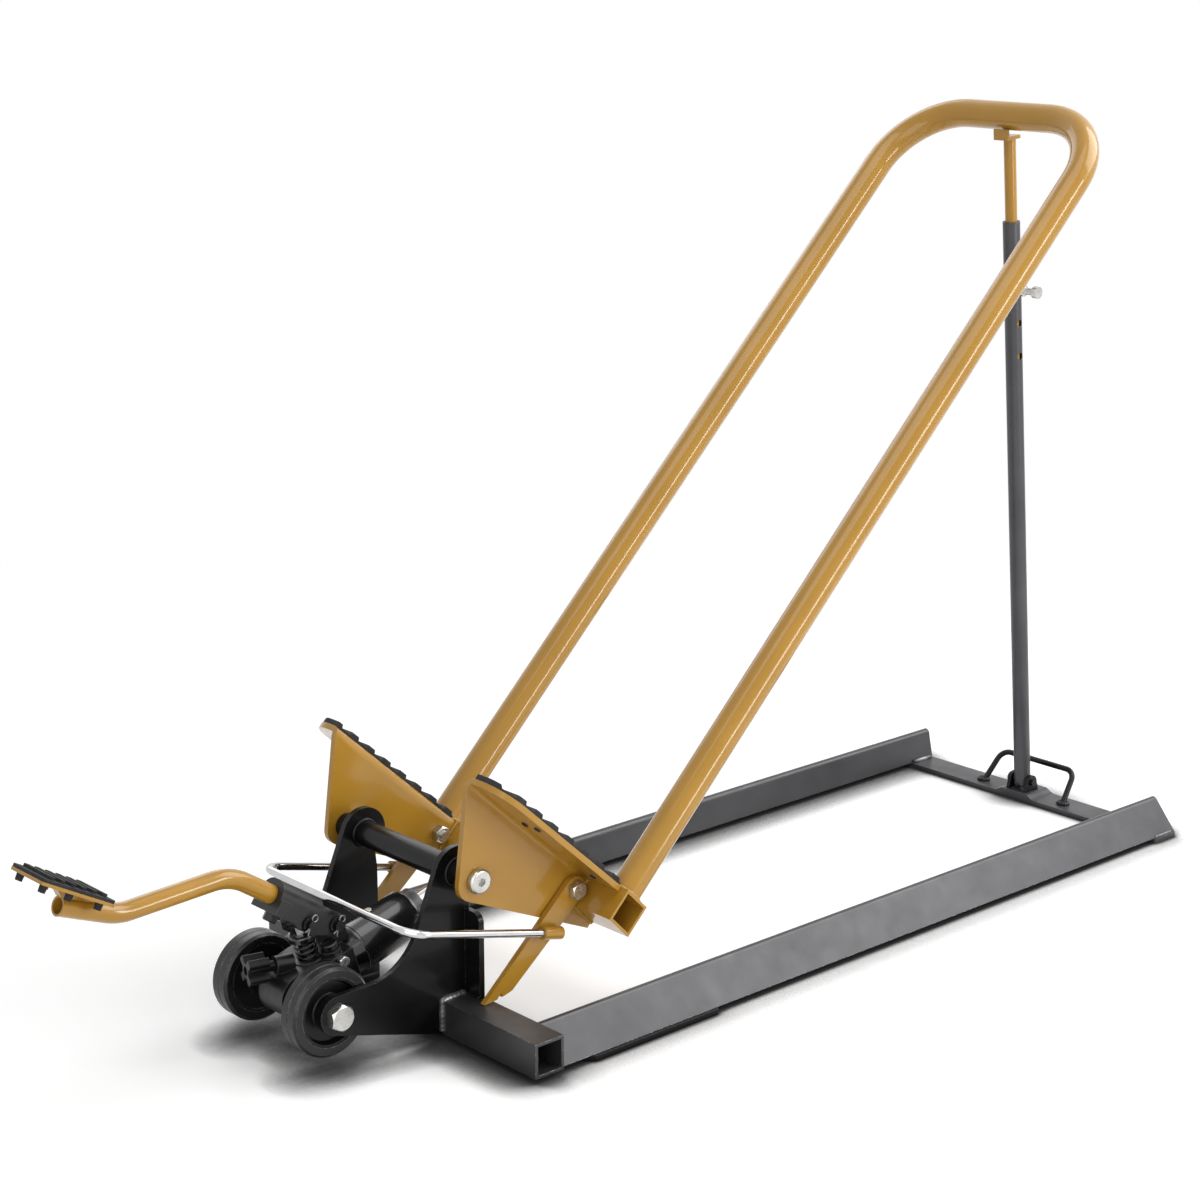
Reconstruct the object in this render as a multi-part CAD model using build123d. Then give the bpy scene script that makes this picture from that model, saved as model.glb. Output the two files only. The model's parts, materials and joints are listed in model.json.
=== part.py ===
"""Foot-pumped mower jack: a low welded base, a tilting lift frame, a pivoting hydraulic ram with a
foot pedal, a safety latch with a wire bail, a folding prop and two transport wheels.

Working frame: X runs rearward from the front face of the front tubes, Y to the operator's left,
Z up from the floor, in millimetres. The finished parts are moved so that the origin is the middle
of the whole jack on the floor.
"""
from build123d import *
import os
from math import asin, atan2, cos, degrees, hypot, pi, radians, sin, sqrt, tan

# Base frame
tube_side = 35.0
tube_wall = 3.0
base_width = 428.0
bar_thick = 6.0
rail_length = 965.0
rail_height = 40.0
rail_foot = 43.0
rail_lean = 9.5
rail_thick = 3.0
rail_bend = 4.0
rail_inset = 5.0
skid_start = 28.0
skid_length = 190.0
skid_taper = 14.0
rear_bar_width = 40.0
rear_bar_overhang = 3.0
tie_rise = 2.0

# Side plates and axle
plate_gap = 140.0
plate_thick = 6.0
axle_height = 168.0
axle_setback = 20.0
axle_tube_d = 26.0
axle_bore = 18.0
axle_lobe = 26.0
wheel_lobe = 19.5
front_edge_lean = 22.6
throat_radius = 62.0
flange_reach = 22.0
flange_drop = 40.0
flange_corner = 10.0
axle_plug = 30.0

# Wheels
wheel_radius = 44.0
wheel_width = 23.0
wheel_lift = 18.0
wheel_reach = 124.0
wheel_bolt_d = 16.0
wheel_bolt_flats = 24.0
tyre_edge = 2.5
tread_groove = 0.9
hub_radius = 34.0
hub_boss_d = 34.0
hub_overhang = 1.5
hub_dish = 6.5
hub_lip = 2.5
sleeve_d = 26.0
side_gap = 0.5

# Lift frame
lift_angle = 44.5
lower_travel = 43.0
lift_tube_d = 32.0
lift_tube_wall = 2.5
leg_gap = 19.5
lift_length = 1029.0
lift_bend = 85.0
cross_reach = 144.5
cross_drop = 56.0
cross_overhang = 3.5
bracket_clear = 3.0
bracket_thick = 6.0
bracket_front = 24.0
bracket_height = 122.0
pad_slope = 42.2
pad_width = 46.0
pad_corner = 34.0
pad_base = 4.0
pad_rib = 5.0
pad_rib_pitch = 32.0
pad_rib_length = 13.0
pad_margin = 1.5
pad_clear = 1.5
stud_d = 7.0
stud_places = (0.26, 0.34, 0.82)
pivot_d = 16.0
pivot_thread_d = 12.0
pivot_head_d = 25.0

# Safety latch
latch_bolt_d = 10.0
latch_bolt_flats = 17.0
latch_along = -6.0
latch_clear = 0.6
latch_dip = 4.2
latch_width = 26.0
latch_taper = 0.055
latch_thick = 6.0
latch_end_gap = 0.8
latch_notch = 6.0
bail_d = 8.0
bail_over = 18.1
bail_behind = 8.7
bail_bend = 22.0
bail_socket_wall = 2.5
bail_socket_length = 24.0
bail_socket_reach = 50.0

# Ram and pump
ram_pin_reach = 118.0
ram_pin_drop = 28.0
ram_pin_d = 12.0
ram_cylinder_d = 50.0
ram_rod_d = 24.0
cylinder_start = 62.0
piston_length = 12.0
cylinder_wall = 5.0
cylinder_floor = 4.0
foot_cone = 16.0
foot_inset = 4.5
gland_length = 9.0
gland_plug = 8.0
block_width = 60.0
block_depth = 46.0
nose_width = 38.0
nose_shoulder = 12.0
bleed_d = 5.0
gauge_flats = 11.0
filler_setback = 17.5
filler_inset = 11.0
filler_d = 16.0
filler_height = 7.0
filler_boss = 6.0
head_tine = 6.0
head_neck = 16.0
lug_thick = 6.0
lug_gap = 34.0
head_gap_along = 4.8
head_gap_across = 2.6

# Foot pump and pedal
plunger_station = 30.0
barrel_d = 34.0
plunger_d = 14.0
plunger_stroke = 11.0
post_setback = 2.0
pedal_post = 23.0
pedal_pin_d = 10.0
pin_overhang = 6.0
link_offset = 2.0
link_lift = 18.0
link_d = 8.0
socket_slope = 34.0
socket_length = 76.0
socket_width = 34.0
socket_height = 32.0
socket_wall = 3.0
socket_round = 14.0
socket_grip = 26.0
socket_ledge = 3.0
lever_rise = 80.0
lever_run = 120.0
lever_fall = 6.0
lever_tip = 64.0
lever_tip_slope = 22.0
lever_bend = 60.0
pedal_tube_d = 19.0
pedal_tube_wall = 2.0
pedal_plate_length = 81.0
pedal_plate_width = 57.0
pedal_plate_thick = 3.0
pedal_plate_pitch = 29.5
pedal_pad_thick = 6.0
pedal_ribs = 6
foot_stud_d = 8.0
foot_stud_length = 7.0
spring_wire = 2.5
spring_turns = 4
spring_d = 25.0
cup_drop = 15.0
cup_depth = 5.0
cup_wall = 1.5
valve_pitch = 16.6
valve_station = 13.0
valve_over = 2.5
valve_side = 2.0
valve_boss_d = 18.0
valve_boss_length = 18.0
stem_d = 10.0
stem_length = 8.5
knob_d = 30.0
knob_core_d = 15.0
knob_length = 21.0
knob_lobes = 4
knob_gap = 15.5

# Prop
prop_tube_d = 20.0
prop_tube_wall = 1.8
prop_rod_d = 14.0
prop_rod_shown = 99.0
prop_pin_drop = 79.5
prop_pin_d = 8.0
prop_hinge_d = 8.0
prop_hinge_height = 16.0
prop_setback = 4.0
clevis_thick = 4.0
hole_pitch = 39.0
saddle_gap = 5.4
saddle_lip = 8.0
seat_thick = 4.0
seat_width = 20.0

# Carry handle
handle_d = 7.0
handle_width = 124.0
handle_top_width = 112.0
handle_reach = 28.0
handle_rise = 34.0
handle_bend = 14.0

# Clearances
running_gap = 0.05
weld_gap = 0.1
free_gap = 1.0

# Places worked out from the sizes above
plate_in = plate_gap / 2
plate_out = plate_in + plate_thick
bracket_in = plate_out + flange_reach + bracket_clear
bracket_out = bracket_in + bracket_thick
leg_half = bracket_out + leg_gap + lift_tube_d / 2
cross_half = leg_half + lift_tube_d / 2 + cross_overhang
rail_rear = tube_side + rail_length
floor_to_rail = bar_thick
tube_top = floor_to_rail + tube_side
axle_x = axle_setback
axle_z = axle_height
flange_top = axle_z - flange_drop
wheel_x = -wheel_reach
wheel_z = wheel_lift + wheel_radius
cross_x = axle_x + cross_reach
cross_z = axle_z - cross_drop
leg_dir = Vector(cos(radians(lift_angle)), 0, sin(radians(lift_angle)))
leg_normal = Vector(-leg_dir.Z, 0, leg_dir.X)
cross_at = Vector(cross_x, 0, cross_z)
top_bar = cross_at + leg_dir * lift_length
latch_at = cross_at + leg_dir * latch_along + leg_normal * (tube_side / 2 + latch_width / 2 + latch_clear)
latch_x = latch_at.X
latch_z = latch_at.Z
latch_slope = degrees(atan2(latch_z - tube_top + latch_dip, latch_x - tube_side))
latch_in = bracket_out + free_gap
latch_out = latch_in + latch_thick
ram_pin_x = axle_x + ram_pin_reach
ram_pin_z = axle_z - ram_pin_drop
ram_angle = degrees(atan2(ram_pin_z - wheel_z, ram_pin_x - wheel_x))
ram_length = hypot(ram_pin_z - wheel_z, ram_pin_x - wheel_x)
ram_pin_turn = atan2(-ram_pin_drop, ram_pin_reach) - radians(lower_travel)
ram_pin_arm = hypot(ram_pin_reach, ram_pin_drop)
lowered_pin_x = axle_x + ram_pin_arm * cos(ram_pin_turn)
lowered_pin_z = axle_z + ram_pin_arm * sin(ram_pin_turn)
rod_stroke = ram_length - hypot(lowered_pin_z - wheel_z, lowered_pin_x - wheel_x)
piston_start = cylinder_start + cylinder_floor + rod_stroke + free_gap
piston_end = piston_start + piston_length
cylinder_end = piston_end + free_gap + gland_plug
pedal_pivot_station = cylinder_start - post_setback
pedal_pivot_rise = block_depth / 2 + pedal_post
filler_station = cylinder_start - filler_setback
filler_side = filler_inset - block_width / 2
ram_plane = Plane(
    origin=(wheel_x, 0, wheel_z),
    x_dir=(cos(radians(ram_angle)), 0, sin(radians(ram_angle))),
    z_dir=(0, -1, 0),
)
prop_x = rail_rear - rear_bar_width / 2 - prop_setback
prop_z = bar_thick + prop_hinge_height
prop_dir = (top_bar - Vector(prop_x, 0, prop_z)).normalized()
prop_length = (top_bar - Vector(prop_x, 0, prop_z)).length - lift_tube_d / 2 - saddle_gap

CENTRED_BASE = (Align.CENTER, Align.CENTER, Align.MIN)


def side_plate(profile, y_low, y_high):
    """Extrude a side-view profile, drawn in X and Z, between two widths."""
    return extrude(Plane.XZ.offset(-y_high) * profile, y_high - y_low)


def bar(start, end, radius):
    """Round bar between two points."""
    start, end = Vector(start), Vector(end)
    axis = end - start
    return Plane(origin=start, z_dir=axis) * Cylinder(radius, axis.length, align=CENTRED_BASE)


def cross_bar(x, z, y_low, y_high, radius):
    """Round bar across the jack."""
    return bar((x, y_low, z), (x, y_high, z), radius)


def ram_point(along, up, y=0.0):
    """Point in the ram's own frame: along the ram from its base pivot, and square to it."""
    return ram_plane.from_local_coords((along, up, -y))


def hex_head(across_flats, height):
    """Hexagon head on the XY plane with its top corners turned off."""
    corner = across_flats / sqrt(3)
    prism = extrude(RegularPolygon(corner, 6), height)
    turned = Cylinder(corner, height, align=CENTRED_BASE)
    rim = turned.edges().group_by(Axis.Z)[-1]
    return prism & chamfer(rim, corner - across_flats / 2 * 0.96, height * 0.25)


def hex_bolt(start, head_at, shank_d, across_flats, head_height):
    """Bolt with its shank from start to the seat of its hexagon head at head_at."""
    start, head_at = Vector(start), Vector(head_at)
    seat = Plane(origin=head_at, z_dir=head_at - start)
    return bar(start, head_at, shank_d / 2) + seat * hex_head(across_flats, head_height)


def hex_nut(seat_at, direction, bore_d, across_flats, height):
    """Nut standing on a seat point along a direction."""
    seat = Plane(origin=seat_at, z_dir=direction)
    bore = Cylinder(bore_d / 2 + running_gap, height, align=CENTRED_BASE)
    nut = hex_head(across_flats, height) - bore
    return seat * nut


def rod_along(path, radius):
    """Round rod swept along a path."""
    return sweep(Plane(origin=path @ 0, z_dir=path % 0) * Circle(radius), path=path)


def mirrored(part):
    """The same part on the operator's left."""
    return mirror(part, about=Plane.XZ)


# Base frame pieces
def front_tube():
    """Square stub from the side plate to the end of the base."""
    inner_side = tube_side - 2 * tube_wall
    section = Rectangle(tube_side, tube_side) - Rectangle(inner_side, inner_side)
    section = Pos(tube_side / 2, floor_to_rail + tube_side / 2) * section
    return side_plate(section, -base_width / 2, -plate_out)


def rail():
    """Folded angle with a sloped outer face and a steep inner leg."""
    outer = -base_width / 2 + rail_inset
    inner = outer + rail_foot
    apex = inner - rail_lean
    middle = rail_thick / 2
    low = floor_to_rail
    high = floor_to_rail + rail_height - middle
    outer_run = (apex - outer - middle) / (high - low)
    inner_run = rail_lean / (high - low)
    spill = 3 * rail_thick
    fold = FilletPolyline(
        (outer + middle - spill * outer_run, low - spill),
        (apex, high),
        (inner - middle + spill * inner_run, low - spill),
        radius=rail_bend,
    )
    below = Pos((outer + inner) / 2, low - rail_height) * Rectangle(3 * rail_foot, 2 * rail_height)
    return extrude(Plane.YZ.offset(tube_side) * (trace(fold, rail_thick) - below), rail_length)


def skid():
    """Flat shoe under the front of a rail, tapered at its outer ends."""
    front = tube_side + skid_start
    rear = front + skid_length
    outer = -base_width / 2 + rail_inset - 4
    inner = outer + rail_foot + 6
    outline = Polygon(
        (front, inner),
        (front, outer + skid_taper),
        (front + skid_taper, outer),
        (rear - skid_taper, outer),
        (rear, outer + skid_taper),
        (rear, inner),
        align=None,
    )
    return extrude(outline, bar_thick)


def rear_bar():
    """Flat bar under the rear ends of both rails."""
    half = base_width / 2 - rail_inset + rear_bar_overhang
    flat = Pos(rail_rear - rear_bar_width / 2, 0) * RectangleRounded(rear_bar_width, 2 * half, 3)
    return extrude(flat, bar_thick)


def prop_clevis():
    """Folded clevis on the rear bar that holds the foot of the prop."""
    ear_in = prop_tube_d / 2 + free_gap
    ear_out = ear_in + clevis_thick
    ear_radius = prop_hinge_d / 2 + 5
    seat_half = ear_radius + 5
    seat = Pos(prop_x, bar_thick + clevis_thick / 2) * Rectangle(2 * seat_half, clevis_thick)
    base = side_plate(seat, -ear_out, ear_out)
    ear = Polygon(
        (prop_x - seat_half, bar_thick),
        (prop_x + seat_half, bar_thick),
        (prop_x + ear_radius, prop_z),
        (prop_x - ear_radius, prop_z),
        align=None,
    )
    ear = ear + Pos(prop_x, prop_z) * Circle(ear_radius)
    ear = ear - Pos(prop_x, prop_z) * Circle(prop_hinge_d / 2 + weld_gap)
    return base + side_plate(ear, ear_in, ear_out) + side_plate(ear, -ear_out, -ear_in)


def prop_hinge_pin():
    """Headed pin through the clevis and the foot of the prop."""
    reach = prop_tube_d / 2 + free_gap + clevis_thick
    shank = cross_bar(prop_x, prop_z, -reach - 3, reach, prop_hinge_d / 2)
    return shank + cross_bar(prop_x, prop_z, reach, reach + 3, prop_hinge_d / 2 + 3)


def carry_handle():
    """Bent wire for lifting the rear of the jack on to its wheels."""
    foot_x = rail_rear - rear_bar_width / 2 - 2
    slope = hypot(handle_reach, handle_rise)
    sheet = Plane(
        origin=(foot_x, 0, bar_thick), x_dir=(0, 1, 0), z_dir=(handle_rise, 0, -handle_reach)
    )
    spill = -handle_d
    wire = sheet * FilletPolyline(
        (-handle_width / 2, spill),
        (-handle_top_width / 2, slope),
        (handle_top_width / 2, slope),
        (handle_width / 2, spill),
        radius=handle_bend,
    )
    return split(rod_along(wire, handle_d / 2), bisect_by=Plane.XY.offset(bar_thick), keep=Keep.TOP)


def side_plate_outline():
    """Side view of a side plate: axle lobe, swept front edge, wheel lobe and straight foot."""
    lean = radians(front_edge_lean)
    arm_top = wheel_z + wheel_lobe
    front_x = axle_x - axle_lobe * cos(lean)
    front_z = axle_z + axle_lobe * sin(lean)
    throat = (front_x - (front_z - arm_top) * tan(lean), arm_top)
    toe = Vector(0, floor_to_rail)
    to_toe = toe - Vector(wheel_x, wheel_z)
    foot = atan2(to_toe.Y, to_toe.X) - pi / 2 + atan2(wheel_lobe, to_toe.length)
    outline = Polygon(
        (wheel_x, wheel_z),
        (wheel_x + wheel_lobe * cos(foot), wheel_z + wheel_lobe * sin(foot)),
        (toe.X, toe.Y),
        (tube_side, floor_to_rail),
        (tube_side, flange_top),
        (axle_x + axle_lobe * 0.5, axle_z - axle_lobe * 0.87),
        (axle_x, axle_z),
        (front_x, front_z),
        throat,
        (wheel_x, arm_top),
        align=None,
    )
    outline = fillet(outline.vertices().sort_by_distance((throat[0], throat[1], 0))[0], throat_radius)
    outline = outline + Pos(axle_x, axle_z) * Circle(axle_lobe) + Pos(wheel_x, wheel_z) * Circle(wheel_lobe)
    outline = outline - Pos(axle_x, axle_z) * Circle(axle_tube_d / 2 + weld_gap)
    return outline - Pos(wheel_x, wheel_z) * Circle(wheel_bolt_d / 2 + weld_gap)


def carrier_plate():
    """Side plate with its rear edge folded outward on to the front tube."""
    web = side_plate(side_plate_outline(), -plate_out, -plate_in)
    height = flange_top - tube_top
    flange = Rectangle(flange_reach, height, align=(Align.MAX, Align.MIN))
    flange = fillet(flange.vertices().sort_by_distance((-flange_reach, height, 0))[0], flange_corner)
    flange = Plane.YZ.offset(tube_side - plate_thick) * Pos(-plate_out, tube_top) * flange
    return web + extrude(flange, plate_thick)


def tie_plate():
    """Flat that ties the two side plates together under the ram."""
    middle = floor_to_rail + tie_rise + plate_thick / 2
    flat = Pos(tube_side / 2, middle) * Rectangle(tube_side, plate_thick)
    return side_plate(flat, -plate_in, plate_in)


def axle_tube():
    """Tube through both side plates, with threaded plugs in its ends for the lift pivots."""
    reach = bracket_in - side_gap
    hollow = reach - axle_plug
    tube = cross_bar(axle_x, axle_z, -reach, reach, axle_tube_d / 2)
    tube = tube - cross_bar(axle_x, axle_z, -hollow, hollow, axle_bore / 2)
    return tube - cross_bar(axle_x, axle_z, -reach, reach, pivot_thread_d / 2)


def pivot_bolts():
    """Shoulder bolts that the lift brackets turn on."""
    seat = bracket_in - side_gap
    head = bracket_out + side_gap
    bolt = cross_bar(axle_x, axle_z, -seat, -seat + 26, pivot_thread_d / 2)
    bolt = bolt + cross_bar(axle_x, axle_z, -head, -seat, pivot_d / 2)
    cap = Cylinder(pivot_head_d / 2, 7, align=CENTRED_BASE)
    cap = fillet(cap.edges().group_by(Axis.Z)[-1], 3)
    cap = cap - Pos(0, 0, 3) * extrude(RegularPolygon(4.6, 6), 4)
    bolt = bolt + Plane(origin=(axle_x, -head, axle_z), z_dir=(0, -1, 0)) * cap
    return Compound([bolt, mirrored(bolt)])


# Wheels
def wheel_face(y):
    """Plane across the wheel axle at a width, for turned parts."""
    return Plane(origin=(wheel_x, y, wheel_z), z_dir=(0, -1, 0), x_dir=(1, 0, 0))


def turned(points, y):
    """Turn a half-section, given as radius and depth, about the wheel axle."""
    return wheel_face(y) * revolve(Plane.XZ * Polygon(*points, align=None), Axis.Z)


hub_length = wheel_width + 2 * hub_overhang
hub_out = plate_in - side_gap
wheel_mid = hub_out - hub_length / 2
hub_in = hub_out - hub_length


def tyre():
    """Solid rubber tyre with a parting groove round its tread."""
    half = wheel_width / 2
    shoulder = wheel_radius - tyre_edge
    section = (
        (hub_radius, -half),
        (shoulder, -half),
        (wheel_radius, -half + tyre_edge),
        (wheel_radius, -tread_groove),
        (wheel_radius - tread_groove, 0),
        (wheel_radius, tread_groove),
        (wheel_radius, half - tyre_edge),
        (shoulder, half),
        (hub_radius, half),
    )
    return turned(section, -wheel_mid)


def hub():
    """Wheel centre with a raised boss, dished on its outer face and nearly flat on its inner face."""
    half = hub_length / 2
    rim = wheel_width / 2 - hub_overhang / 2
    floor = rim - hub_dish
    bore = wheel_bolt_d / 2 + running_gap
    boss = hub_boss_d / 2
    section = (
        (bore, -half),
        (boss, -half),
        (boss, -rim + hub_overhang),
        (hub_radius - hub_lip, -rim + hub_overhang),
        (hub_radius - hub_lip + 1, -rim),
        (hub_radius, -rim),
        (hub_radius, rim),
        (hub_radius - hub_lip, rim),
        (hub_radius - 2 * hub_lip, floor),
        (boss + 1, floor),
        (boss, floor + 1),
        (boss, half),
        (bore, half),
    )
    return turned(section, -wheel_mid)


def wheel_bolt():
    """Long bolt through both plates, both wheels and the sleeve."""
    reach = plate_out + wheel_bolt_d
    head_at = (wheel_x, -plate_out, wheel_z)
    return hex_bolt((wheel_x, reach, wheel_z), head_at, wheel_bolt_d, wheel_bolt_flats, 10)


def wheel_nut():
    """Nut on the far end of the wheel bolt."""
    return hex_nut((wheel_x, plate_out, wheel_z), (0, 1, 0), wheel_bolt_d, wheel_bolt_flats, 12)


def wheel_sleeve():
    """Spacer tube between the wheels, which the pump turns on."""
    reach = hub_in - side_gap
    sleeve = cross_bar(wheel_x, wheel_z, -reach, reach, sleeve_d / 2)
    return sleeve - cross_bar(wheel_x, wheel_z, -reach, reach, wheel_bolt_d / 2 + running_gap)


# Lift frame
leg_plane = Plane(
    origin=cross_at, x_dir=(0, 1, 0), z_dir=(leg_dir.Z, 0, -leg_dir.X)
)


def lift_tube():
    """Round tube bent into a long U."""
    end = tube_side / 2
    path = leg_plane * FilletPolyline(
        (-leg_half, end), (-leg_half, lift_length), (leg_half, lift_length), (leg_half, end),
        radius=lift_bend,
    )
    return rod_along(path, lift_tube_d / 2) - rod_along(path, lift_tube_d / 2 - lift_tube_wall)


def square_on_edge(side):
    """Square turned to stand across the lift legs, at the cross tube."""
    return Pos(cross_x, cross_z) * Rot(0, 0, lift_angle) * Rectangle(side, side)


def lift_cross_tube():
    """Square tube that both legs of the U are welded to."""
    section = square_on_edge(tube_side) - square_on_edge(tube_side - 2 * tube_wall)
    return side_plate(section, -cross_half, cross_half)


slope_dir = Vector(cos(radians(pad_slope)), 0, -sin(radians(pad_slope)))
slope_up = Vector(sin(radians(pad_slope)), 0, cos(radians(pad_slope)))
pad_front = Vector(axle_x - bracket_front, 0, axle_z + bracket_height)
pad_plane = Plane(origin=pad_front, x_dir=slope_dir, z_dir=slope_up)
pad_length = (pad_front - cross_at).dot(leg_normal) / -slope_dir.dot(leg_normal)
pad_length = pad_length - max(lift_tube_d, tube_side) / 2 - pad_clear


def pad_outline(inset):
    """Plan of the wheel rest, with a large round at its free front corner."""
    length = pad_length - 2 * inset
    width = bracket_thick + pad_width - 2 * inset
    sheet = Rectangle(length, width, align=(Align.MIN, Align.MIN))
    sheet = fillet(sheet.vertices().sort_by_distance((0, 0, 0))[0], pad_corner - inset)
    return Pos(inset, -bracket_out - pad_width + inset) * sheet


def stud_circles(diameter):
    """Circles where the rubber studs pass through the wheel rest."""
    middle = -bracket_out - pad_width / 2
    return [Pos(pad_length * share, middle) * Circle(diameter / 2) for share in stud_places]


def bracket():
    """Lift bracket: side plate on the axle with a folded wheel rest."""
    front = axle_x - bracket_front
    rest_end = pad_front + slope_dir * pad_length
    outline = Polygon(
        (front, axle_z - 13),
        (cross_x - 4, cross_z - tube_side * 0.88),
        (cross_x + tube_side * 0.78, cross_z + 2),
        (rest_end.X, rest_end.Z),
        (front, pad_front.Z),
        align=None,
    )
    outline = fillet(outline.vertices().sort_by_distance((front, axle_z - 13, 0))[0], 18)
    outline = outline - square_on_edge(tube_side + 2 * weld_gap)
    outline = outline - Pos(axle_x, axle_z) * Circle(pivot_d / 2 + running_gap)
    outline = outline - Pos(latch_x, latch_z) * Circle(latch_bolt_d / 2 + weld_gap)
    web = side_plate(outline, -bracket_out, -bracket_in)
    rest = pad_plane * extrude(pad_outline(0), -bracket_thick)
    for hole in stud_circles(stud_d + 2 * weld_gap):
        rest = rest - pad_plane * extrude(hole, -bracket_thick)
    return web + rest


def wheel_pad():
    """Rubber pad with broad cross ribs, held on the wheel rest by its studs."""
    pad = extrude(pad_outline(pad_margin), pad_base)
    middle = -bracket_out - pad_width / 2
    last = pad_length - pad_margin - pad_rib_length * 0.7
    outside = Pos(pad_length / 2, middle) * Rectangle(2 * pad_length, 4 * pad_width)
    outside = outside - pad_outline(2 * pad_margin)
    for number in range(int(last / pad_rib_pitch) + 1):
        at = last - number * pad_rib_pitch
        rib = Pos(at, middle) * RectangleRounded(pad_rib_length, pad_width, 3)
        pad = pad + Pos(0, 0, pad_base) * extrude(rib - outside, pad_rib)
    for stud in stud_circles(stud_d):
        pad = pad + extrude(stud, -bracket_thick - 2)
    return pad_plane * pad


def ram_lugs():
    """Pair of lugs on the cross tube for the ram pin."""
    pin = Vector(ram_pin_x, 0, ram_pin_z)
    face = cross_at + leg_normal * (tube_side / 2)
    along = (pin - face).dot(leg_dir)
    rise = (pin - face).dot(leg_normal)
    radius = ram_pin_d / 2 + 6
    foot = tube_side / 2 - 1
    eye = Pos(along, rise)
    shape = Polygon((-foot, 0), (foot, 0), (along + radius, rise), (along - radius, rise), align=None)
    shape = shape + eye * Circle(radius) - eye * Circle(ram_pin_d / 2 + weld_gap)
    plane = Plane(origin=face, x_dir=leg_dir, z_dir=(0, -1, 0))
    lug = plane.offset(lug_gap / 2) * shape
    lug = extrude(lug, lug_thick)
    return Compound([lug, mirrored(lug)])


def ram_pin():
    """Pin through the lugs that the ram head pushes."""
    reach = lug_gap / 2 + lug_thick + 4
    return cross_bar(ram_pin_x, ram_pin_z, -reach, reach, ram_pin_d / 2)


def latch_bolts():
    """Bolts that hang the latch arms on the brackets."""
    tail = (latch_x, -bracket_in + 12, latch_z)
    head_at = (latch_x, -latch_out - side_gap, latch_z)
    bolt = hex_bolt(tail, head_at, latch_bolt_d, latch_bolt_flats, 7)
    return Compound([bolt, mirrored(bolt)])


def latch_nuts():
    """Nuts of the latch bolts, on the inner faces of the brackets."""
    nut = hex_nut((latch_x, -bracket_in, latch_z), (0, 1, 0), latch_bolt_d, latch_bolt_flats, 9)
    return Compound([nut, mirrored(nut)])


# Safety latch
arm_dir = Vector(-cos(radians(latch_slope)), 0, -sin(radians(latch_slope)))
socket_at = latch_at + arm_dir * bail_socket_reach
pedal_pivot = ram_point(pedal_pivot_station, pedal_pivot_rise)
bail_front = pedal_pivot + Vector(bail_behind, 0, bail_over)
bail_dir = (bail_front - socket_at).normalized()
bail_half = latch_out + bail_socket_wall + bail_d / 2


def latch_arm():
    """Latch arm whose notched end drops on the front tube and clears it when the lift turns."""
    length = 1.4 * hypot(latch_x - tube_side, latch_z - tube_top)
    half = latch_width / 2
    toe = length * latch_taper - half
    strip = Polygon((0, half), (-length, half), (-length, toe), (0, -half), align=None)
    shape = Pos(latch_x, latch_z) * Rot(0, 0, latch_slope) * (strip + Circle(half))
    turn_radius = axle_z - tube_top - latch_end_gap
    below = Pos(axle_x, tube_top + half - turn_radius) * Rectangle(8 * turn_radius, 2 * turn_radius)
    shape = shape - (below - Pos(axle_x, axle_z) * Circle(turn_radius))
    notch = Polygon((0, 0), (latch_notch, -latch_notch), (latch_notch, 0.9 * latch_notch), align=None)
    shape = shape - Pos(tube_side + 0.4 * latch_notch, tube_top + 0.4 * latch_notch) * notch
    shape = shape - Pos(latch_x, latch_z) * Circle(latch_bolt_d / 2 + running_gap)
    return side_plate(shape, -latch_out, -latch_in)


def bail_socket():
    """Short sleeve on a latch arm that holds one end of the bail."""
    middle = socket_at + Vector(0, -bail_half, 0)
    start = middle - bail_dir * (bail_socket_length / 2)
    end = middle + bail_dir * (bail_socket_length / 2)
    sleeve = bar(start, end, bail_d / 2 + bail_socket_wall)
    return sleeve - bar(start, end, bail_d / 2 + weld_gap)


def release_bail():
    """Wire bail beside the pedal that lifts both latch arms."""
    start = socket_at - bail_dir * (bail_socket_length / 2 - 2)
    length = (bail_front - start).length
    plane = Plane(origin=start, x_dir=(0, 1, 0), z_dir=(bail_dir.Z, 0, -bail_dir.X))
    path = plane * FilletPolyline(
        (-bail_half, 0),
        (-bail_half, length),
        (bail_half, length),
        (bail_half, 0),
        radius=bail_bend,
    )
    return rod_along(path, bail_d / 2)


# Ram and pump
barrel_rise = block_depth / 2 + 1
boss_top = block_depth / 2 + filler_boss
bleed_station = (cylinder_start + cylinder_end) / 2
bore_radius = ram_cylinder_d / 2 - cylinder_wall


def ram_bar(along_from, along_to, radius):
    """Round bar on the ram's axis."""
    return bar(ram_point(along_from, 0), ram_point(along_to, 0), radius)


def valve_axis():
    """Start and direction of the release valve, turned out towards the left wheel."""
    start = ram_point(valve_station, block_depth / 2 + valve_over, valve_side)
    reach = valve_boss_length + stem_length + knob_length
    room = hub_in - valve_side - knob_gap
    yaw = asin(room / hypot(reach, knob_d / 2)) - atan2(knob_d / 2, reach)
    pitch = radians(valve_pitch)
    forward = ram_plane.y_dir * sin(pitch) - ram_plane.x_dir * cos(pitch)
    outward = forward * cos(yaw) + Vector(0, sin(yaw), 0)
    return start, outward


def block_extrude(profile, y_low, y_high):
    """Extrude a profile drawn in the ram's own frame between two widths."""
    return extrude(ram_plane.offset(-y_high) * profile, y_high - y_low)


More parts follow.
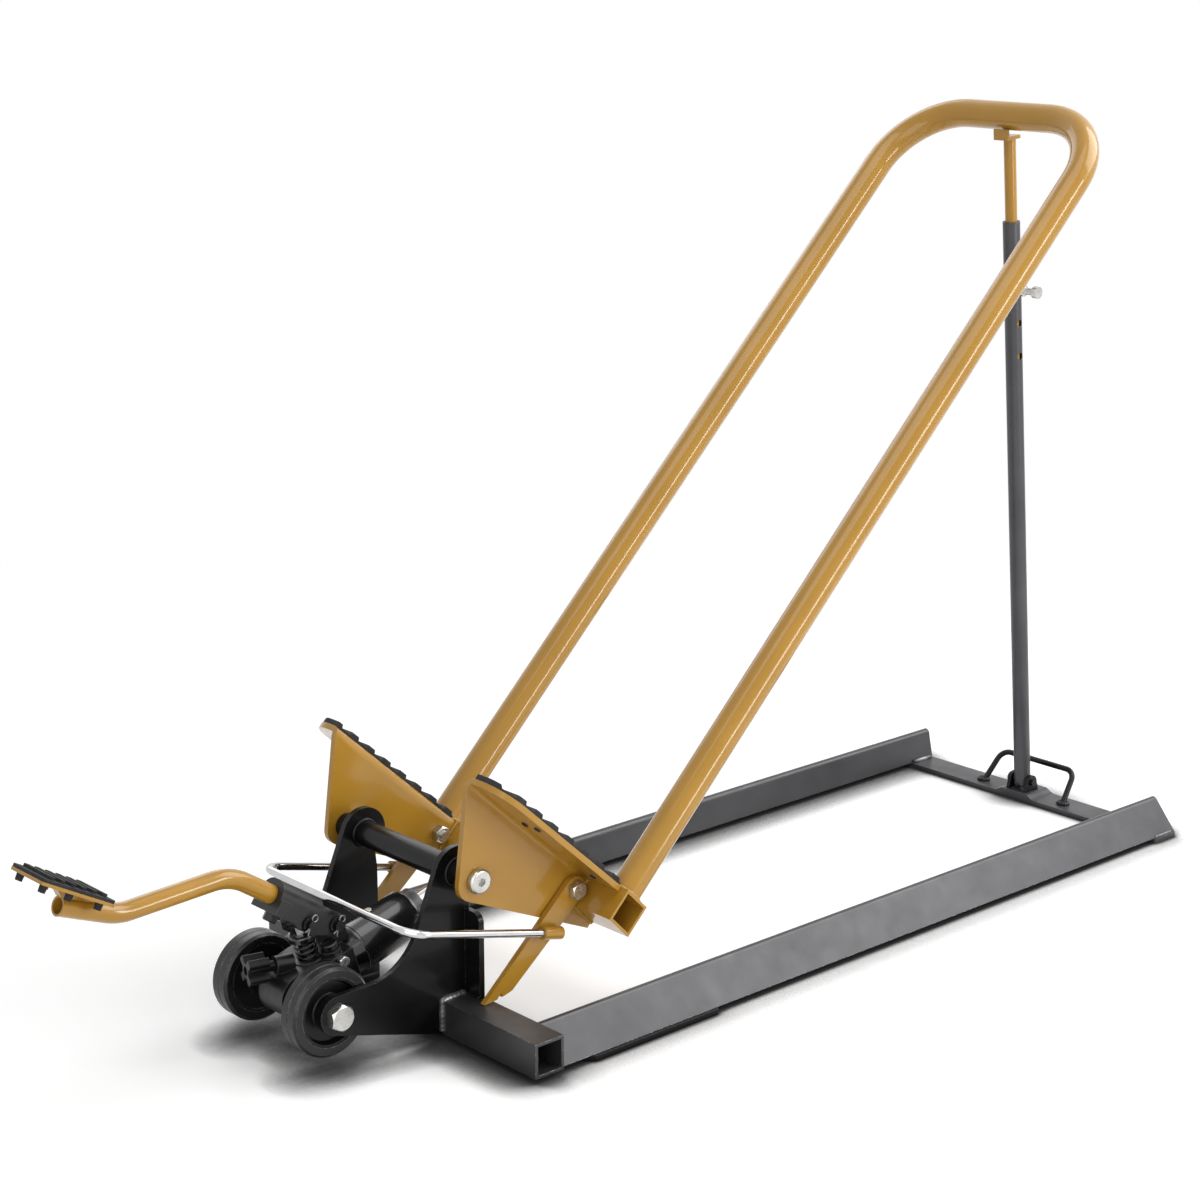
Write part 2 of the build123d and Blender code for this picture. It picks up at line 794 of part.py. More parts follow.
def pump_block():
    """Cast pump body: round nose on the sleeve, pump barrel, valve boss and pedal post."""
    nose = block_depth / 2
    knuckle = Circle(nose) + Pos(nose_shoulder, 0) * Rectangle(2 * nose_shoulder, block_depth)
    block = block_extrude(knuckle, -nose_width / 2, nose_width / 2)
    length = cylinder_start - nose_shoulder
    body = Pos(nose_shoulder + length / 2, 0) * Rectangle(length, block_depth)
    block = block + block_extrude(body, -block_width / 2, block_width / 2)
    block = block + bar(plunger_point(0), plunger_point(barrel_rise), barrel_d / 2)
    post_half = pedal_pin_d / 2 + 6
    post_foot = nose - 2
    post = Rectangle(2 * post_half, pedal_pivot_rise - post_foot, align=(Align.CENTER, Align.MAX))
    post = Pos(pedal_pivot_station, pedal_pivot_rise) * (post + Circle(post_half))
    block = block + block_extrude(post, -head_half, head_half)
    start, outward = valve_axis()
    block = block + bar(start, start + outward * valve_boss_length, valve_boss_d / 2)
    filler_foot = ram_point(filler_station, 0, filler_side)
    block = block + bar(filler_foot, ram_point(filler_station, boss_top, filler_side), filler_d / 2 + 2)
    block = block - cross_bar(wheel_x, wheel_z, -block_width, block_width, sleeve_d / 2 + running_gap)
    block = block - bar(plunger_point(0), plunger_point(2 * link_rise), plunger_d / 2 + running_gap)
    block = block - ram_bar(cylinder_start, cylinder_end, ram_cylinder_d / 2 + weld_gap)
    pin_hole = pedal_pin_d / 2 + running_gap
    return block - cross_bar(pedal_pivot.X, pedal_pivot.Z, -block_width, block_width, pin_hole)


def ram_cylinder():
    """Ram tube with a coned foot, a seam above it and a rounded shoulder."""
    radius = ram_cylinder_d / 2
    length = cylinder_end - cylinder_start
    shell = Pos(0, 0, foot_cone) * Cylinder(radius, length - foot_cone, align=CENTRED_BASE)
    shell = fillet(shell.edges().group_by(Axis.Z)[-1], cylinder_wall)
    shell = shell + Cone(radius - foot_inset, radius, foot_cone, align=CENTRED_BASE)
    seam = Pos(0, 0, foot_cone + 2) * (Cylinder(radius + 1, 2) - Cylinder(radius - 0.8, 2))
    shell = shell - seam - Pos(0, 0, cylinder_floor) * Cylinder(bore_radius, length, align=CENTRED_BASE)
    shell = Plane(origin=ram_point(cylinder_start, 0), z_dir=ram_plane.x_dir) * shell
    return shell - bar(ram_point(bleed_station, 0), ram_point(bleed_station, 2 * radius), bleed_d / 2)


def ram_gland():
    """Gland nut that closes the ram tube round the rod."""
    inner = cylinder_end - gland_plug
    outer = cylinder_end + gland_length
    plug = ram_bar(inner, cylinder_end, bore_radius)
    collar = ram_bar(cylinder_end, outer, bore_radius + 1)
    return plug + collar - ram_bar(inner - 1, outer + 1, ram_rod_d / 2 + running_gap)


head_root = ram_length - ram_pin_d / 2 - head_neck


def ram_piston():
    """Piston on the inner end of the rod, with room below it for the whole stroke."""
    return ram_bar(piston_start, piston_end, bore_radius - running_gap)


def ram_rod():
    """Polished ram rod."""
    return ram_bar(piston_end, head_root, ram_rod_d / 2)


def ram_head():
    """Open fork on the rod that pushes the ram pin."""
    slot_half = ram_pin_d / 2 + head_gap_across
    mouth = ram_length + ram_pin_d / 2 + head_gap_along - 2
    seat = ram_length - ram_pin_d / 2 - weld_gap
    body = Pos((head_root + mouth) / 2, 0) * Rectangle(mouth - head_root, 2 * (slot_half + head_tine))
    open_end = Rectangle(50, 2 * slot_half, align=(Align.MIN, Align.CENTER))
    slot = Pos(seat + slot_half, 0) * (Circle(slot_half) + open_end)
    width = lug_gap / 2 - free_gap
    return block_extrude(body - slot, -width, width)


def filler_plug():
    """Slotted oil filler plug."""
    plane = Plane(origin=ram_point(filler_station, boss_top, filler_side), z_dir=ram_plane.y_dir)
    plug = Cylinder(filler_d / 2, filler_height, align=CENTRED_BASE)
    plug = fillet(plug.edges().group_by(Axis.Z)[-1], 1.5)
    plug = plug - Pos(0, 0, filler_height - 1) * Box(filler_d * 1.2, 2.2, 4)
    return plane * plug


def bleed_screw():
    """Small screw on top of the ram tube."""
    top = ram_cylinder_d / 2
    shank_end = ram_point(bleed_station, top - 0.6 * cylinder_wall)
    return hex_bolt(shank_end, ram_point(bleed_station, top), bleed_d - 2 * running_gap, 8, 4)


def gauge_plug():
    """Small bright plug on the near side of the pump body, below the filler."""
    seat = ram_point(filler_station + 2, block_depth / 2 - 0.6 * gauge_flats, -block_width / 2)
    return Plane(origin=seat, z_dir=(0, -1, 0)) * hex_head(gauge_flats, 5)


# Foot pump
link_along = plunger_station + link_offset
link_rise = pedal_pivot_rise + link_lift
cup_rise = link_rise - cup_drop
cup_radius = spring_d / 2 + 1
cheek_in = socket_width / 2 - socket_wall
head_half = cheek_in - 2 * free_gap


def plunger_point(rise, y=0.0):
    """Point on the pump plunger's axis."""
    return ram_point(plunger_station, rise, y)


def pump_plunger():
    """Pump plunger with a slotted head for the link pin."""
    foot = plunger_point(2 * free_gap + plunger_stroke)
    stem = bar(foot, plunger_point(link_rise - link_d / 2), plunger_d / 2)
    head = Pos(plunger_station, link_rise) * Rectangle(link_d + 14, link_d + 8)
    slot = Pos(plunger_station, link_rise) * RectangleRounded(link_d + 6, link_d + 0.8, link_d / 2)
    return stem + block_extrude(head - slot, -head_half, head_half)


def spring_cup():
    """Pressed cup that caps the return spring."""
    plane = Plane(origin=plunger_point(cup_rise - cup_depth), z_dir=ram_plane.y_dir)
    cup = Cylinder(cup_radius, cup_depth + cup_wall, align=CENTRED_BASE)
    cup = fillet(cup.edges().group_by(Axis.Z)[-1], 2.5)
    cup = cup - Cylinder(cup_radius - cup_wall, cup_depth, align=CENTRED_BASE)
    return plane * (cup - Cylinder(plunger_d / 2 + weld_gap, 4 * cup_depth))


spring_radius = spring_d / 2 - cup_wall - spring_wire / 2
spring_pitch = (cup_rise - barrel_rise - spring_wire - 6 * weld_gap) / spring_turns
spring_low = barrel_rise + spring_wire / 2 + 3 * weld_gap


def coil_point(turns):
    """Point on the middle of the spring's wire, in the plunger's own frame."""
    angle = 2 * pi * turns
    return Vector(spring_radius * cos(angle), spring_radius * sin(angle), spring_low + spring_pitch * turns)


def coil_heading(turns):
    """Direction of the spring's wire."""
    angle = 2 * pi * turns
    return Vector(-2 * pi * spring_radius * sin(angle), 2 * pi * spring_radius * cos(angle), spring_pitch)


def least_gap(wire):
    """Least space between one turn of the spring and the next, measured on points along the wire."""
    steps = 48 * spring_turns
    points = [wire @ (step / steps) for step in range(steps + 1)]
    half_turn = 24
    apart = [
        (points[first] - points[second]).length
        for first in range(steps + 1)
        for second in range(first + half_turn, steps + 1)
    ]
    return min(apart) - spring_wire


def pump_spring():
    """Return spring of the pump, one unbroken wire of eighth-turn arcs with straight ends."""
    first = coil_point(0)
    last = coil_point(spring_turns)
    foot = first - coil_heading(0).normalized() * spring_wire
    crown = last + coil_heading(spring_turns).normalized() * spring_wire
    runs = [Line(foot, first)]
    for step in range(8 * spring_turns):
        start = coil_point(step / 8)
        end = coil_point((step + 1) / 8)
        runs.append(TangentArc(start, end, tangent=coil_heading(step / 8)))
    runs.append(Line(last, crown))
    wire = Wire(runs)
    coil = sweep(Plane(origin=wire @ 0, z_dir=wire % 0) * Circle(spring_wire / 2), path=wire)
    print("pump spring, least gap between turns:", round(least_gap(wire), 2), "mm")
    return Plane(origin=plunger_point(0), z_dir=ram_plane.y_dir) * coil


# Pedal
socket_dir = Vector(-cos(radians(socket_slope)), 0, sin(radians(socket_slope)))
socket_plane = Plane(origin=pedal_pivot, x_dir=socket_dir, z_dir=(0, 1, 0))
link_point = ram_point(link_along, link_rise)
link_local = socket_plane.to_local_coords(link_point)


def socket_profile_extrude(profile, y_low, y_high):
    """Extrude a profile drawn along the pedal socket between two widths."""
    return extrude(socket_plane.offset(y_low) * profile, y_high - y_low)


def socket_tunnel(start, end, half, top, corner):
    """Bar along the pedal socket with a round-cornered top, open-ended below."""
    tall = 4 * socket_height
    plane = Plane(origin=pedal_pivot + socket_dir * start, x_dir=(0, -1, 0), z_dir=socket_dir)
    return extrude(plane * Pos(0, top - tall / 2) * RectangleRounded(2 * half, tall, corner), end - start)


def pedal_socket():
    """Forged pedal socket: round-backed channel with two cheeks on the pivot and a bore for the lever."""
    half = socket_width / 2
    top = socket_height / 2
    eye = pedal_pin_d / 2 + 6
    link_x, link_y = link_local.X, link_local.Y
    link_eye = link_d / 2 + 5
    side = Polygon(
        (0, -eye),
        (link_x - link_eye, link_y - link_eye),
        (link_x + link_eye, link_y - link_eye),
        (link_x + link_eye + 8, -top),
        (socket_length, -top),
        (socket_length, top),
        (14, top),
        (0, eye),
        align=None,
    )
    grip_start = socket_length - socket_grip
    socket = socket_profile_extrude(side + Circle(eye), -half, half)
    socket = socket & socket_tunnel(-2 * eye, socket_length, half, top, socket_round)
    ledge = Pos(socket_length - socket_grip / 4, -top / 2) * Rectangle(socket_grip / 2, top)
    socket = socket + socket_profile_extrude(ledge, -half - socket_ledge, half + socket_ledge)
    roof = top - socket_wall
    socket = socket - socket_tunnel(-2 * eye, grip_start, cheek_in, roof, socket_round - socket_wall)
    socket = socket - socket_tunnel(-2 * eye, eye + 12, cheek_in, 2 * top, 1)
    mouth = pedal_pivot + socket_dir * (socket_length + 1)
    socket = socket - bar(pedal_pivot + socket_dir * grip_start, mouth, pedal_tube_d / 2 + weld_gap)
    for pin, pin_d in ((link_point, link_d), (pedal_pivot, pedal_pin_d)):
        socket = socket - cross_bar(pin.X, pin.Z, -socket_width, socket_width, pin_d / 2 + weld_gap)
    cup_top = plunger_point(cup_rise + cup_wall + 3 * weld_gap)
    return socket - bar(plunger_point(barrel_rise), cup_top, cup_radius + 3 * weld_gap)


def socket_screw():
    """Set screw that holds the lever in its socket."""
    down = socket_plane.from_local_coords((0, -1, 0)) - pedal_pivot
    seat = pedal_pivot + socket_dir * (socket_length - 12) + down * (socket_height / 2)
    return Plane(origin=seat, z_dir=down) * hex_head(13, 8)


def pedal_pin():
    """Pivot pin of the pedal."""
    reach = socket_width / 2 + pin_overhang
    return cross_bar(pedal_pivot.X, pedal_pivot.Z, -reach, reach, pedal_pin_d / 2)


def link_pin():
    """Pin that joins the pedal socket to the pump plunger."""
    reach = socket_width / 2 + pin_overhang
    return cross_bar(link_point.X, link_point.Z, -reach, reach, link_d / 2)


def pin_clips():
    """Spring clips on the ends of the pivot pin and the link pin."""
    clips = []
    for point, pin_d in ((pedal_pivot, pedal_pin_d), (link_point, link_d)):
        for side in (-1, 1):
            near = side * (socket_width / 2 + 0.6)
            far = near + side * 1.6
            low, high = min(near, far), max(near, far)
            ring = cross_bar(point.X, point.Z, low, high, pin_d / 2 + 3.5)
            clips.append(ring - cross_bar(point.X, point.Z, low, high, pin_d / 2 + weld_gap))
    return Compound(clips)


lever_start = pedal_pivot + socket_dir * (socket_length - socket_grip)
lever_crest = lever_start + socket_dir * lever_rise
lever_low = lever_crest + Vector(-lever_run, 0, -lever_fall)
tip_dir = Vector(-cos(radians(lever_tip_slope)), 0, sin(radians(lever_tip_slope)))
lever_end = lever_low + tip_dir * lever_tip


def pedal_lever():
    """Bent tube from the socket to the pedal."""
    corners = [(point.X, point.Z) for point in (lever_start, lever_crest, lever_low, lever_end)]
    path = Plane.XZ * FilletPolyline(*corners, radius=lever_bend)
    return rod_along(path, pedal_tube_d / 2) - rod_along(path, pedal_tube_d / 2 - pedal_tube_wall)


foot_dir = Vector(-cos(radians(pedal_plate_pitch)), 0, sin(radians(pedal_plate_pitch)))
foot_up = Vector(0, 1, 0).cross(foot_dir)
foot_rear = lever_low + tip_dir * 20 + Vector(0, 0, pedal_tube_d / 2 + 2)
foot_plane = Plane(origin=foot_rear, x_dir=foot_dir, z_dir=foot_up)
foot_studs = [
    (pedal_plate_length * along, pedal_plate_width * across)
    for along in (0.14, 0.55, 0.9)
    for across in (-0.34, 0.34)
]


def foot_outline(inset):
    """Plan of the pedal, from its rear edge forward."""
    length = pedal_plate_length - 2 * inset
    width = pedal_plate_width - 2 * inset
    return Pos(pedal_plate_length / 2, 0) * RectangleRounded(length, width, 5 - inset)


def pedal_plate():
    """Steel pedal plate on a gusset welded to the lever."""
    plate = extrude(foot_outline(0), pedal_plate_thick)
    for x, y in foot_studs:
        plate = plate - Pos(x, y, 0) * Cylinder(foot_stud_d / 2 + weld_gap, 3 * pedal_plate_thick)
    root = lever_low + tip_dir * 26
    crown = lever_end - tip_dir * 6
    corners = (root, foot_rear + foot_dir * 6, foot_rear + foot_dir * 50, crown)
    gusset = side_plate(Polygon(*[(point.X, point.Z) for point in corners], align=None), -5, 5)
    lever = bar(lever_low, lever_end + tip_dir * 20, pedal_tube_d / 2 + weld_gap)
    return foot_plane * plate + gusset - lever


def pedal_pad():
    """Rubber tread held in the pedal plate by its studs."""
    base = pedal_pad_thick / 2
    pad = Pos(0, 0, pedal_plate_thick) * extrude(foot_outline(0.5), base)
    pitch = pedal_plate_length / (pedal_ribs + 1)
    for number in range(pedal_ribs):
        rib = Pos(pitch * (number + 1), 0) * RectangleRounded(pitch * 0.5, pedal_plate_width - 10, 2)
        pad = pad + Pos(0, 0, pedal_plate_thick + base) * extrude(rib, pedal_pad_thick - base)
    for x, y in foot_studs:
        stud = extrude(Circle(foot_stud_d / 2), -pedal_plate_thick - foot_stud_length, taper=4)
        pad = pad + Pos(x, y, pedal_plate_thick) * stud
    return foot_plane * pad


def release_knob():
    """Cross knob of the release valve, with flared lobes and a hollow face."""
    start, outward = valve_axis()
    core = knob_core_d / 2
    tip = knob_d / 2
    lobe = Polygon((0, -0.16 * tip), (tip, -0.3 * tip), (tip, 0.3 * tip), (0, 0.16 * tip), align=None)
    lobe = fillet(lobe.vertices().sort_by(Axis.X)[-2:], 0.15 * tip)
    plan = Circle(core)
    for number in range(knob_lobes):
        plan = plan + Rot(0, 0, 360 * (number + 0.5) / knob_lobes) * lobe
    knob = extrude(plan, knob_length)
    knob = knob - Pos(0, 0, knob_length - 3) * Cylinder(0.6 * core, 3, align=CENTRED_BASE)
    stem = Cylinder(stem_d / 2, stem_length - side_gap, align=(Align.CENTER, Align.CENTER, Align.MAX))
    at = start + outward * (valve_boss_length + stem_length)
    return Plane(origin=at, z_dir=outward) * (knob + stem)


# Prop
hinge = Vector(prop_x, 0, prop_z)
prop_plane = Plane(origin=hinge, x_dir=prop_dir, z_dir=(0, -1, 0))
prop_tube_length = prop_length - prop_rod_shown
prop_pin_at = prop_tube_length - prop_pin_drop


def prop_bar(start, end, radius):
    """Round bar along the prop."""
    return bar(hinge + prop_dir * start, hinge + prop_dir * end, radius)


def prop_cross(at, half, radius):
    """Round bar across the prop."""
    point = hinge + prop_dir * at
    return cross_bar(point.X, point.Z, -half, half, radius)


def prop_tube():
    """Outer tube of the prop, hinged at its rounded foot."""
    radius = prop_tube_d / 2
    foot = prop_bar(-radius, 0, radius) & prop_cross(0, prop_tube_d, radius - 0.4)
    tube = foot + prop_bar(0, prop_tube_length, radius)
    tube = tube - prop_bar(radius + 4, prop_tube_length + 1, radius - prop_tube_wall)
    tube = tube - prop_cross(0, prop_tube_d, prop_hinge_d / 2 + running_gap)
    for number in range(3):
        at = prop_pin_at - number * hole_pitch
        tube = tube - prop_cross(at, prop_tube_d, prop_pin_d / 2 + weld_gap)
    return tube


def prop_rod():
    """Inner rod of the prop, set to height by the lock pin."""
    rod = prop_bar(prop_pin_at - 150, prop_length - seat_thick, prop_rod_d / 2)
    return rod - prop_cross(prop_pin_at, prop_tube_d, prop_pin_d / 2 + weld_gap)


def prop_saddle():
    """Angle seat under the top bar of the lift frame, open to the rear."""
    lip = 3.5
    rear = prop_rod_d / 2
    front = lift_tube_d / 2 - 3.5 + lip
    shape = Polygon(
        (prop_length - seat_thick, -rear),
        (prop_length, -rear),
        (prop_length, front - lip),
        (prop_length + saddle_lip, front - lip),
        (prop_length + saddle_lip, front),
        (prop_length - seat_thick, front),
        align=None,
    )
    return extrude(prop_plane.offset(-seat_width / 2) * shape, seat_width)


def lock_pin():
    """Pull pin that holds the rod in the tube, with a ringed head."""
    at = hinge + prop_dir * prop_pin_at
    inner = prop_tube_d / 2 + 5
    outer = prop_tube_d / 2 + 22
    pin = cross_bar(at.X, at.Z, -outer, inner, prop_pin_d / 2)
    collar = cross_bar(at.X, at.Z, -prop_tube_d / 2 - 8, -prop_tube_d / 2 - 3, prop_pin_d / 2 + 2.5)
    knob = cross_bar(at.X, at.Z, -outer - 6, -outer, prop_pin_d / 2 + 3)
    return pin + collar + knob


# Every node of the jack
right_parts = {
    "rail": rail,
    "side_plate": carrier_plate,
    "tyre": tyre,
    "hub": hub,
    "bracket": bracket,
    "wheel_pad": wheel_pad,
    "latch_arm": latch_arm,
}
paired_parts = {
    "front_tubes": front_tube,
    "skids": skid,
    "bail_sockets": bail_socket,
}
single_parts = {
    "rear_bar": rear_bar,
    "prop_clevis": prop_clevis,
    "prop_hinge_pin": prop_hinge_pin,
    "carry_handle": carry_handle,
    "tie_plate": tie_plate,
    "axle_tube": axle_tube,
    "pivot_bolts": pivot_bolts,
    "wheel_bolt": wheel_bolt,
    "wheel_nut": wheel_nut,
    "wheel_sleeve": wheel_sleeve,
    "lift_tube": lift_tube,
    "lift_cross_tube": lift_cross_tube,
    "ram_lugs": ram_lugs,
    "ram_pin": ram_pin,
    "latch_bolts": latch_bolts,
    "latch_nuts": latch_nuts,
    "release_bail": release_bail,
    "pump_block": pump_block,
    "ram_cylinder": ram_cylinder,
    "ram_gland": ram_gland,
    "ram_piston": ram_piston,
    "ram_rod": ram_rod,
    "ram_head": ram_head,
    "filler_plug": filler_plug,
    "bleed_screw": bleed_screw,
    "gauge_plug": gauge_plug,
    "pump_plunger": pump_plunger,
    "spring_cup": spring_cup,
    "pump_spring": pump_spring,
    "pedal_socket": pedal_socket,
    "socket_screw": socket_screw,
    "pedal_pin": pedal_pin,
    "link_pin": link_pin,
    "pin_clips": pin_clips,
    "pedal_lever": pedal_lever,
    "pedal_plate": pedal_plate,
    "pedal_pad": pedal_pad,
    "release_knob": release_knob,
    "prop_tube": prop_tube,
    "prop_rod": prop_rod,
    "prop_saddle": prop_saddle,
    "lock_pin": lock_pin,
}


def build():
    """Make every node in the working frame."""
    nodes = {name: make() for name, make in single_parts.items()}
    for name, make in paired_parts.items():
        part = make()
        nodes[name] = Compound([part, mirrored(part)])
    for name, make in right_parts.items():
        part = make()
        nodes["right_" + name] = part
        nodes["left_" + name] = mirrored(part)
    return nodes


nodes = build()
boxes = [part.bounding_box() for part in nodes.values()]
middle_x = (min(box.min.X for box in boxes) + max(box.max.X for box in boxes)) / 2
to_middle = Pos(-middle_x, 0, 0)
print("middle of the jack, rearward of the front tubes:", round(middle_x, 4), "mm")
os.makedirs("parts", exist_ok=True)
for name, part in nodes.items():
    export_step(to_middle * part, f"parts/{name}.step")
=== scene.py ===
"""Looks of a foot-pumped mower jack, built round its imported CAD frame.

Every CAD node gets a procedural finish. The folded lift brackets, their ribbed pads and the pump's return
spring take the place of plainer nodes. Welds, a bolt's thread, split pins and the raised stretch of the rear
bar are added. All of these are surfaces worked out with numpy. Lengths in the sub-assemblies are millimetres
in the maker's frame: X rearward from the front face of the front tubes, Y to the operator's left, Z up.
"""
import json
import logging
import math
from dataclasses import dataclass, field
from enum import Enum

import bmesh
import bpy
import numpy as np
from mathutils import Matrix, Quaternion, Vector

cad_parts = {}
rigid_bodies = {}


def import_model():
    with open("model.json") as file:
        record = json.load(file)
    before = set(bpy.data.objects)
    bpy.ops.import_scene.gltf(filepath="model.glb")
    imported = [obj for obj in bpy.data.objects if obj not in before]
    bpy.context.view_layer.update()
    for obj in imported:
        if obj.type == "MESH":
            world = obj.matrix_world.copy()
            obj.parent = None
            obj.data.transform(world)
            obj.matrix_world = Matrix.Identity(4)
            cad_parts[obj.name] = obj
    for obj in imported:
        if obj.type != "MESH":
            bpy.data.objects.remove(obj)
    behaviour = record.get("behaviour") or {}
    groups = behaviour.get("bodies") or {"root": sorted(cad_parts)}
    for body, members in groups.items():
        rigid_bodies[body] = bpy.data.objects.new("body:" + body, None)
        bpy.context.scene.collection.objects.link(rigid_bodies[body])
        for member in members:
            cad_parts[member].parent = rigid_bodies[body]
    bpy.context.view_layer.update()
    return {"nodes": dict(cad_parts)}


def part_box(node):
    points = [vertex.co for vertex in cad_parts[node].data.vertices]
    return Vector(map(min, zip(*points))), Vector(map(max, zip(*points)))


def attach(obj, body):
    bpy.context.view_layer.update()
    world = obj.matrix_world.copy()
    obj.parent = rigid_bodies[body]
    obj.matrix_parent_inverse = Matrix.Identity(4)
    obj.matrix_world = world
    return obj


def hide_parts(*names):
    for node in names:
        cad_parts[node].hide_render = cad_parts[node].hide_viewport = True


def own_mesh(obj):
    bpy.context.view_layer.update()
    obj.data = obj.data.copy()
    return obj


LOG = logging.getLogger("mower_jack")
MM = 0.001
SIDES = (-1, 1)
REARWARD, LEFTWARD, UPWARD = np.eye(3)
Array = np.ndarray
Colour = tuple[float, float, float]
Socket = bpy.types.NodeSocket
DUST: Colour = (0.42, 0.4, 0.37)
WHITE = (1.0, 1.0, 1.0, 1.0)


def srgb(red: int, green: int, blue: int) -> Colour:
    """Linear colour of an 8-bit display colour.

    Args:
        red: Red, 0 to 255.
        green: Green, 0 to 255.
        blue: Blue, 0 to 255.

    Returns:
        The three linear values.
    """
    shares = np.array([red, green, blue]) / 255
    linear = np.where(shares <= 0.04045, shares / 12.92, ((shares + 0.055) / 1.055) ** 2.4)
    return tuple(float(value) for value in linear)


class NodeTree:
    """A tree of shader nodes, with short calls that add and join them."""

    def __init__(self, tree: bpy.types.NodeTree) -> None:
        """Empty the tree.

        Args:
            tree: The tree to fill.
        """
        self.tree = tree
        self.tree.nodes.clear()

    def add(self, kind: str, sockets: dict | None = None, **settings: object) -> bpy.types.Node:
        """Add a node.

        Args:
            kind: Blender's name of the node type.
            sockets: Values or other nodes' outputs, by input name or number.
            settings: Properties of the node itself.

        Returns:
            The new node.
        """
        node = self.tree.nodes.new(kind)
        for key, value in settings.items():
            setattr(node, key, value)
        for key, value in (sockets or {}).items():
            if isinstance(value, Socket):
                self.tree.links.new(value, node.inputs[key])
            else:
                node.inputs[key].default_value = value
        return node

    def greater(self, first: Socket, second: Socket) -> Socket:
        """Larger of two values."""
        return self.add("ShaderNodeMath", {0: first, 1: second}, operation="MAXIMUM").outputs[0]

    def blend(self, share: Socket, first: bpy.types.Node, second: bpy.types.Node) -> bpy.types.Node:
        """Mix two shaders.

        Args:
            share: 0 gives the first shader, 1 the second.
            first: A shader node.
            second: A shader node.

        Returns:
            The mixing node.
        """
        return self.add("ShaderNodeMixShader", {0: share, 1: first.outputs[0], 2: second.outputs[0]})

    def seen(self) -> Socket:
        """Mask of the rays that show the background: straight to the eye, reflected or through glass."""
        rays = self.add("ShaderNodeLightPath").outputs
        plain = self.greater(rays["Is Camera Ray"], rays["Is Glossy Ray"])
        return self.greater(plain, rays["Is Transmission Ray"])


class NodeSheet(NodeTree):
    """Node tree of one material."""

    def __init__(self, name: str) -> None:
        """Start an empty tree.

        Args:
            name: Name of the material.
        """
        self.material = bpy.data.materials.new(name)
        self.material.use_nodes = True
        super().__init__(self.material.node_tree)
        self.place = self.add("ShaderNodeTexCoord").outputs["Object"]

    def stretched(self, scale: Colour) -> Socket:
        """Object coordinates stretched along each axis.

        Args:
            scale: Factor on each axis.

        Returns:
            The stretched coordinates.
        """
        node = self.add("ShaderNodeMapping", {"Vector": self.place, "Scale": scale})
        return node.outputs["Vector"]

    def noise(self, scale: float, detail: float = 3.0, place: Socket | None = None) -> Socket:
        """Cloudy noise.

        Args:
            scale: Clouds to the metre.
            detail: Number of finer layers.
            place: Coordinates to read, or the plain object coordinates.

        Returns:
            The noise, about 0.3 to 0.7.
        """
        sockets = {"Vector": place or self.place, "Scale": scale, "Detail": detail}
        return self.add("ShaderNodeTexNoise", sockets).outputs["Fac"]

    def spread(
        self, value: Socket, low: float, high: float, to_low: float = 0.0, to_high: float = 1.0
    ) -> Socket:
        """Map a range of values on to another, clamped.

        Args:
            value: Value to map.
            low: Value that becomes to_low.
            high: Value that becomes to_high.
            to_low: Lower result.
            to_high: Upper result.

        Returns:
            The mapped value.
        """
        sockets = {"Value": value, "From Min": low, "From Max": high, "To Min": to_low, "To Max": to_high}
        return self.add("ShaderNodeMapRange", sockets).outputs["Result"]

    def times(self, first: Socket, second: Socket | float) -> Socket:
        """Product of two values."""
        return self.add("ShaderNodeMath", {0: first, 1: second}, operation="MULTIPLY").outputs[0]

    def mix(self, share: Socket, first: Socket | Colour, second: Socket | Colour) -> Socket:
        """Blend two colours.

        Args:
            share: 0 gives the first colour, 1 the second.
            first: A colour or a colour output.
            second: A colour or a colour output.

        Returns:
            The blended colour.
        """
        sockets = {0: share}
        for number, value in ((6, first), (7, second)):
            sockets[number] = value if isinstance(value, Socket) else (*value, 1.0)
        return self.add("ShaderNodeMix", sockets, data_type="RGBA").outputs[2]

    def rounded(self, radius: float) -> Socket:
        """Normal with every hard edge rounded off.

        Args:
            radius: Rounding in millimetres.

        Returns:
            The rounded normal.
        """
        return self.add("ShaderNodeBevel", {"Radius": radius * MM}, samples=4).outputs["Normal"]

    def edges(self, radius: float) -> Socket:
        """Mask that is 1 along outer and inner edges and 0 on flats.

        Args:
            radius: Reach of the mask in millimetres.

        Returns:
            The mask.
        """
        flat = self.add("ShaderNodeNewGeometry").outputs["Normal"]
        pair = {0: self.rounded(radius), 1: flat}
        agree = self.add("ShaderNodeVectorMath", pair, operation="DOT_PRODUCT").outputs["Value"]
        return self.spread(agree, 0.93, 0.74)

    def facing_up(self) -> Socket:
        """Mask that is 1 on faces that look up."""
        normal = self.add("ShaderNodeNewGeometry").outputs["Normal"]
        parts = self.add("ShaderNodeSeparateXYZ", {0: normal})
        return self.spread(parts.outputs["Z"], 0.2, 0.95)

    def bump(self, height: Socket, depth: float, normal: Socket) -> Socket:
        """Bumped normal.

        Args:
            height: Height map, 0 to 1.
            depth: Depth of the bumps in millimetres.
            normal: Normal to bump.

        Returns:
            The bumped normal.
        """
        sockets = {"Height": height, "Distance": depth * MM, "Strength": 1.0, "Normal": normal}
        return self.add("ShaderNodeBump", sockets).outputs["Normal"]

    def surface(self, **sockets: object) -> None:
        """Finish the tree with the main shader.

        Args:
            sockets: The shader's inputs, with underscores for spaces in their names.
        """
        named = {key.replace("_", " "): value for key, value in sockets.items()}
        shader = self.add("ShaderNodeBsdfPrincipled", named)
        self.add("ShaderNodeOutputMaterial", {"Surface": shader.outputs[0]})


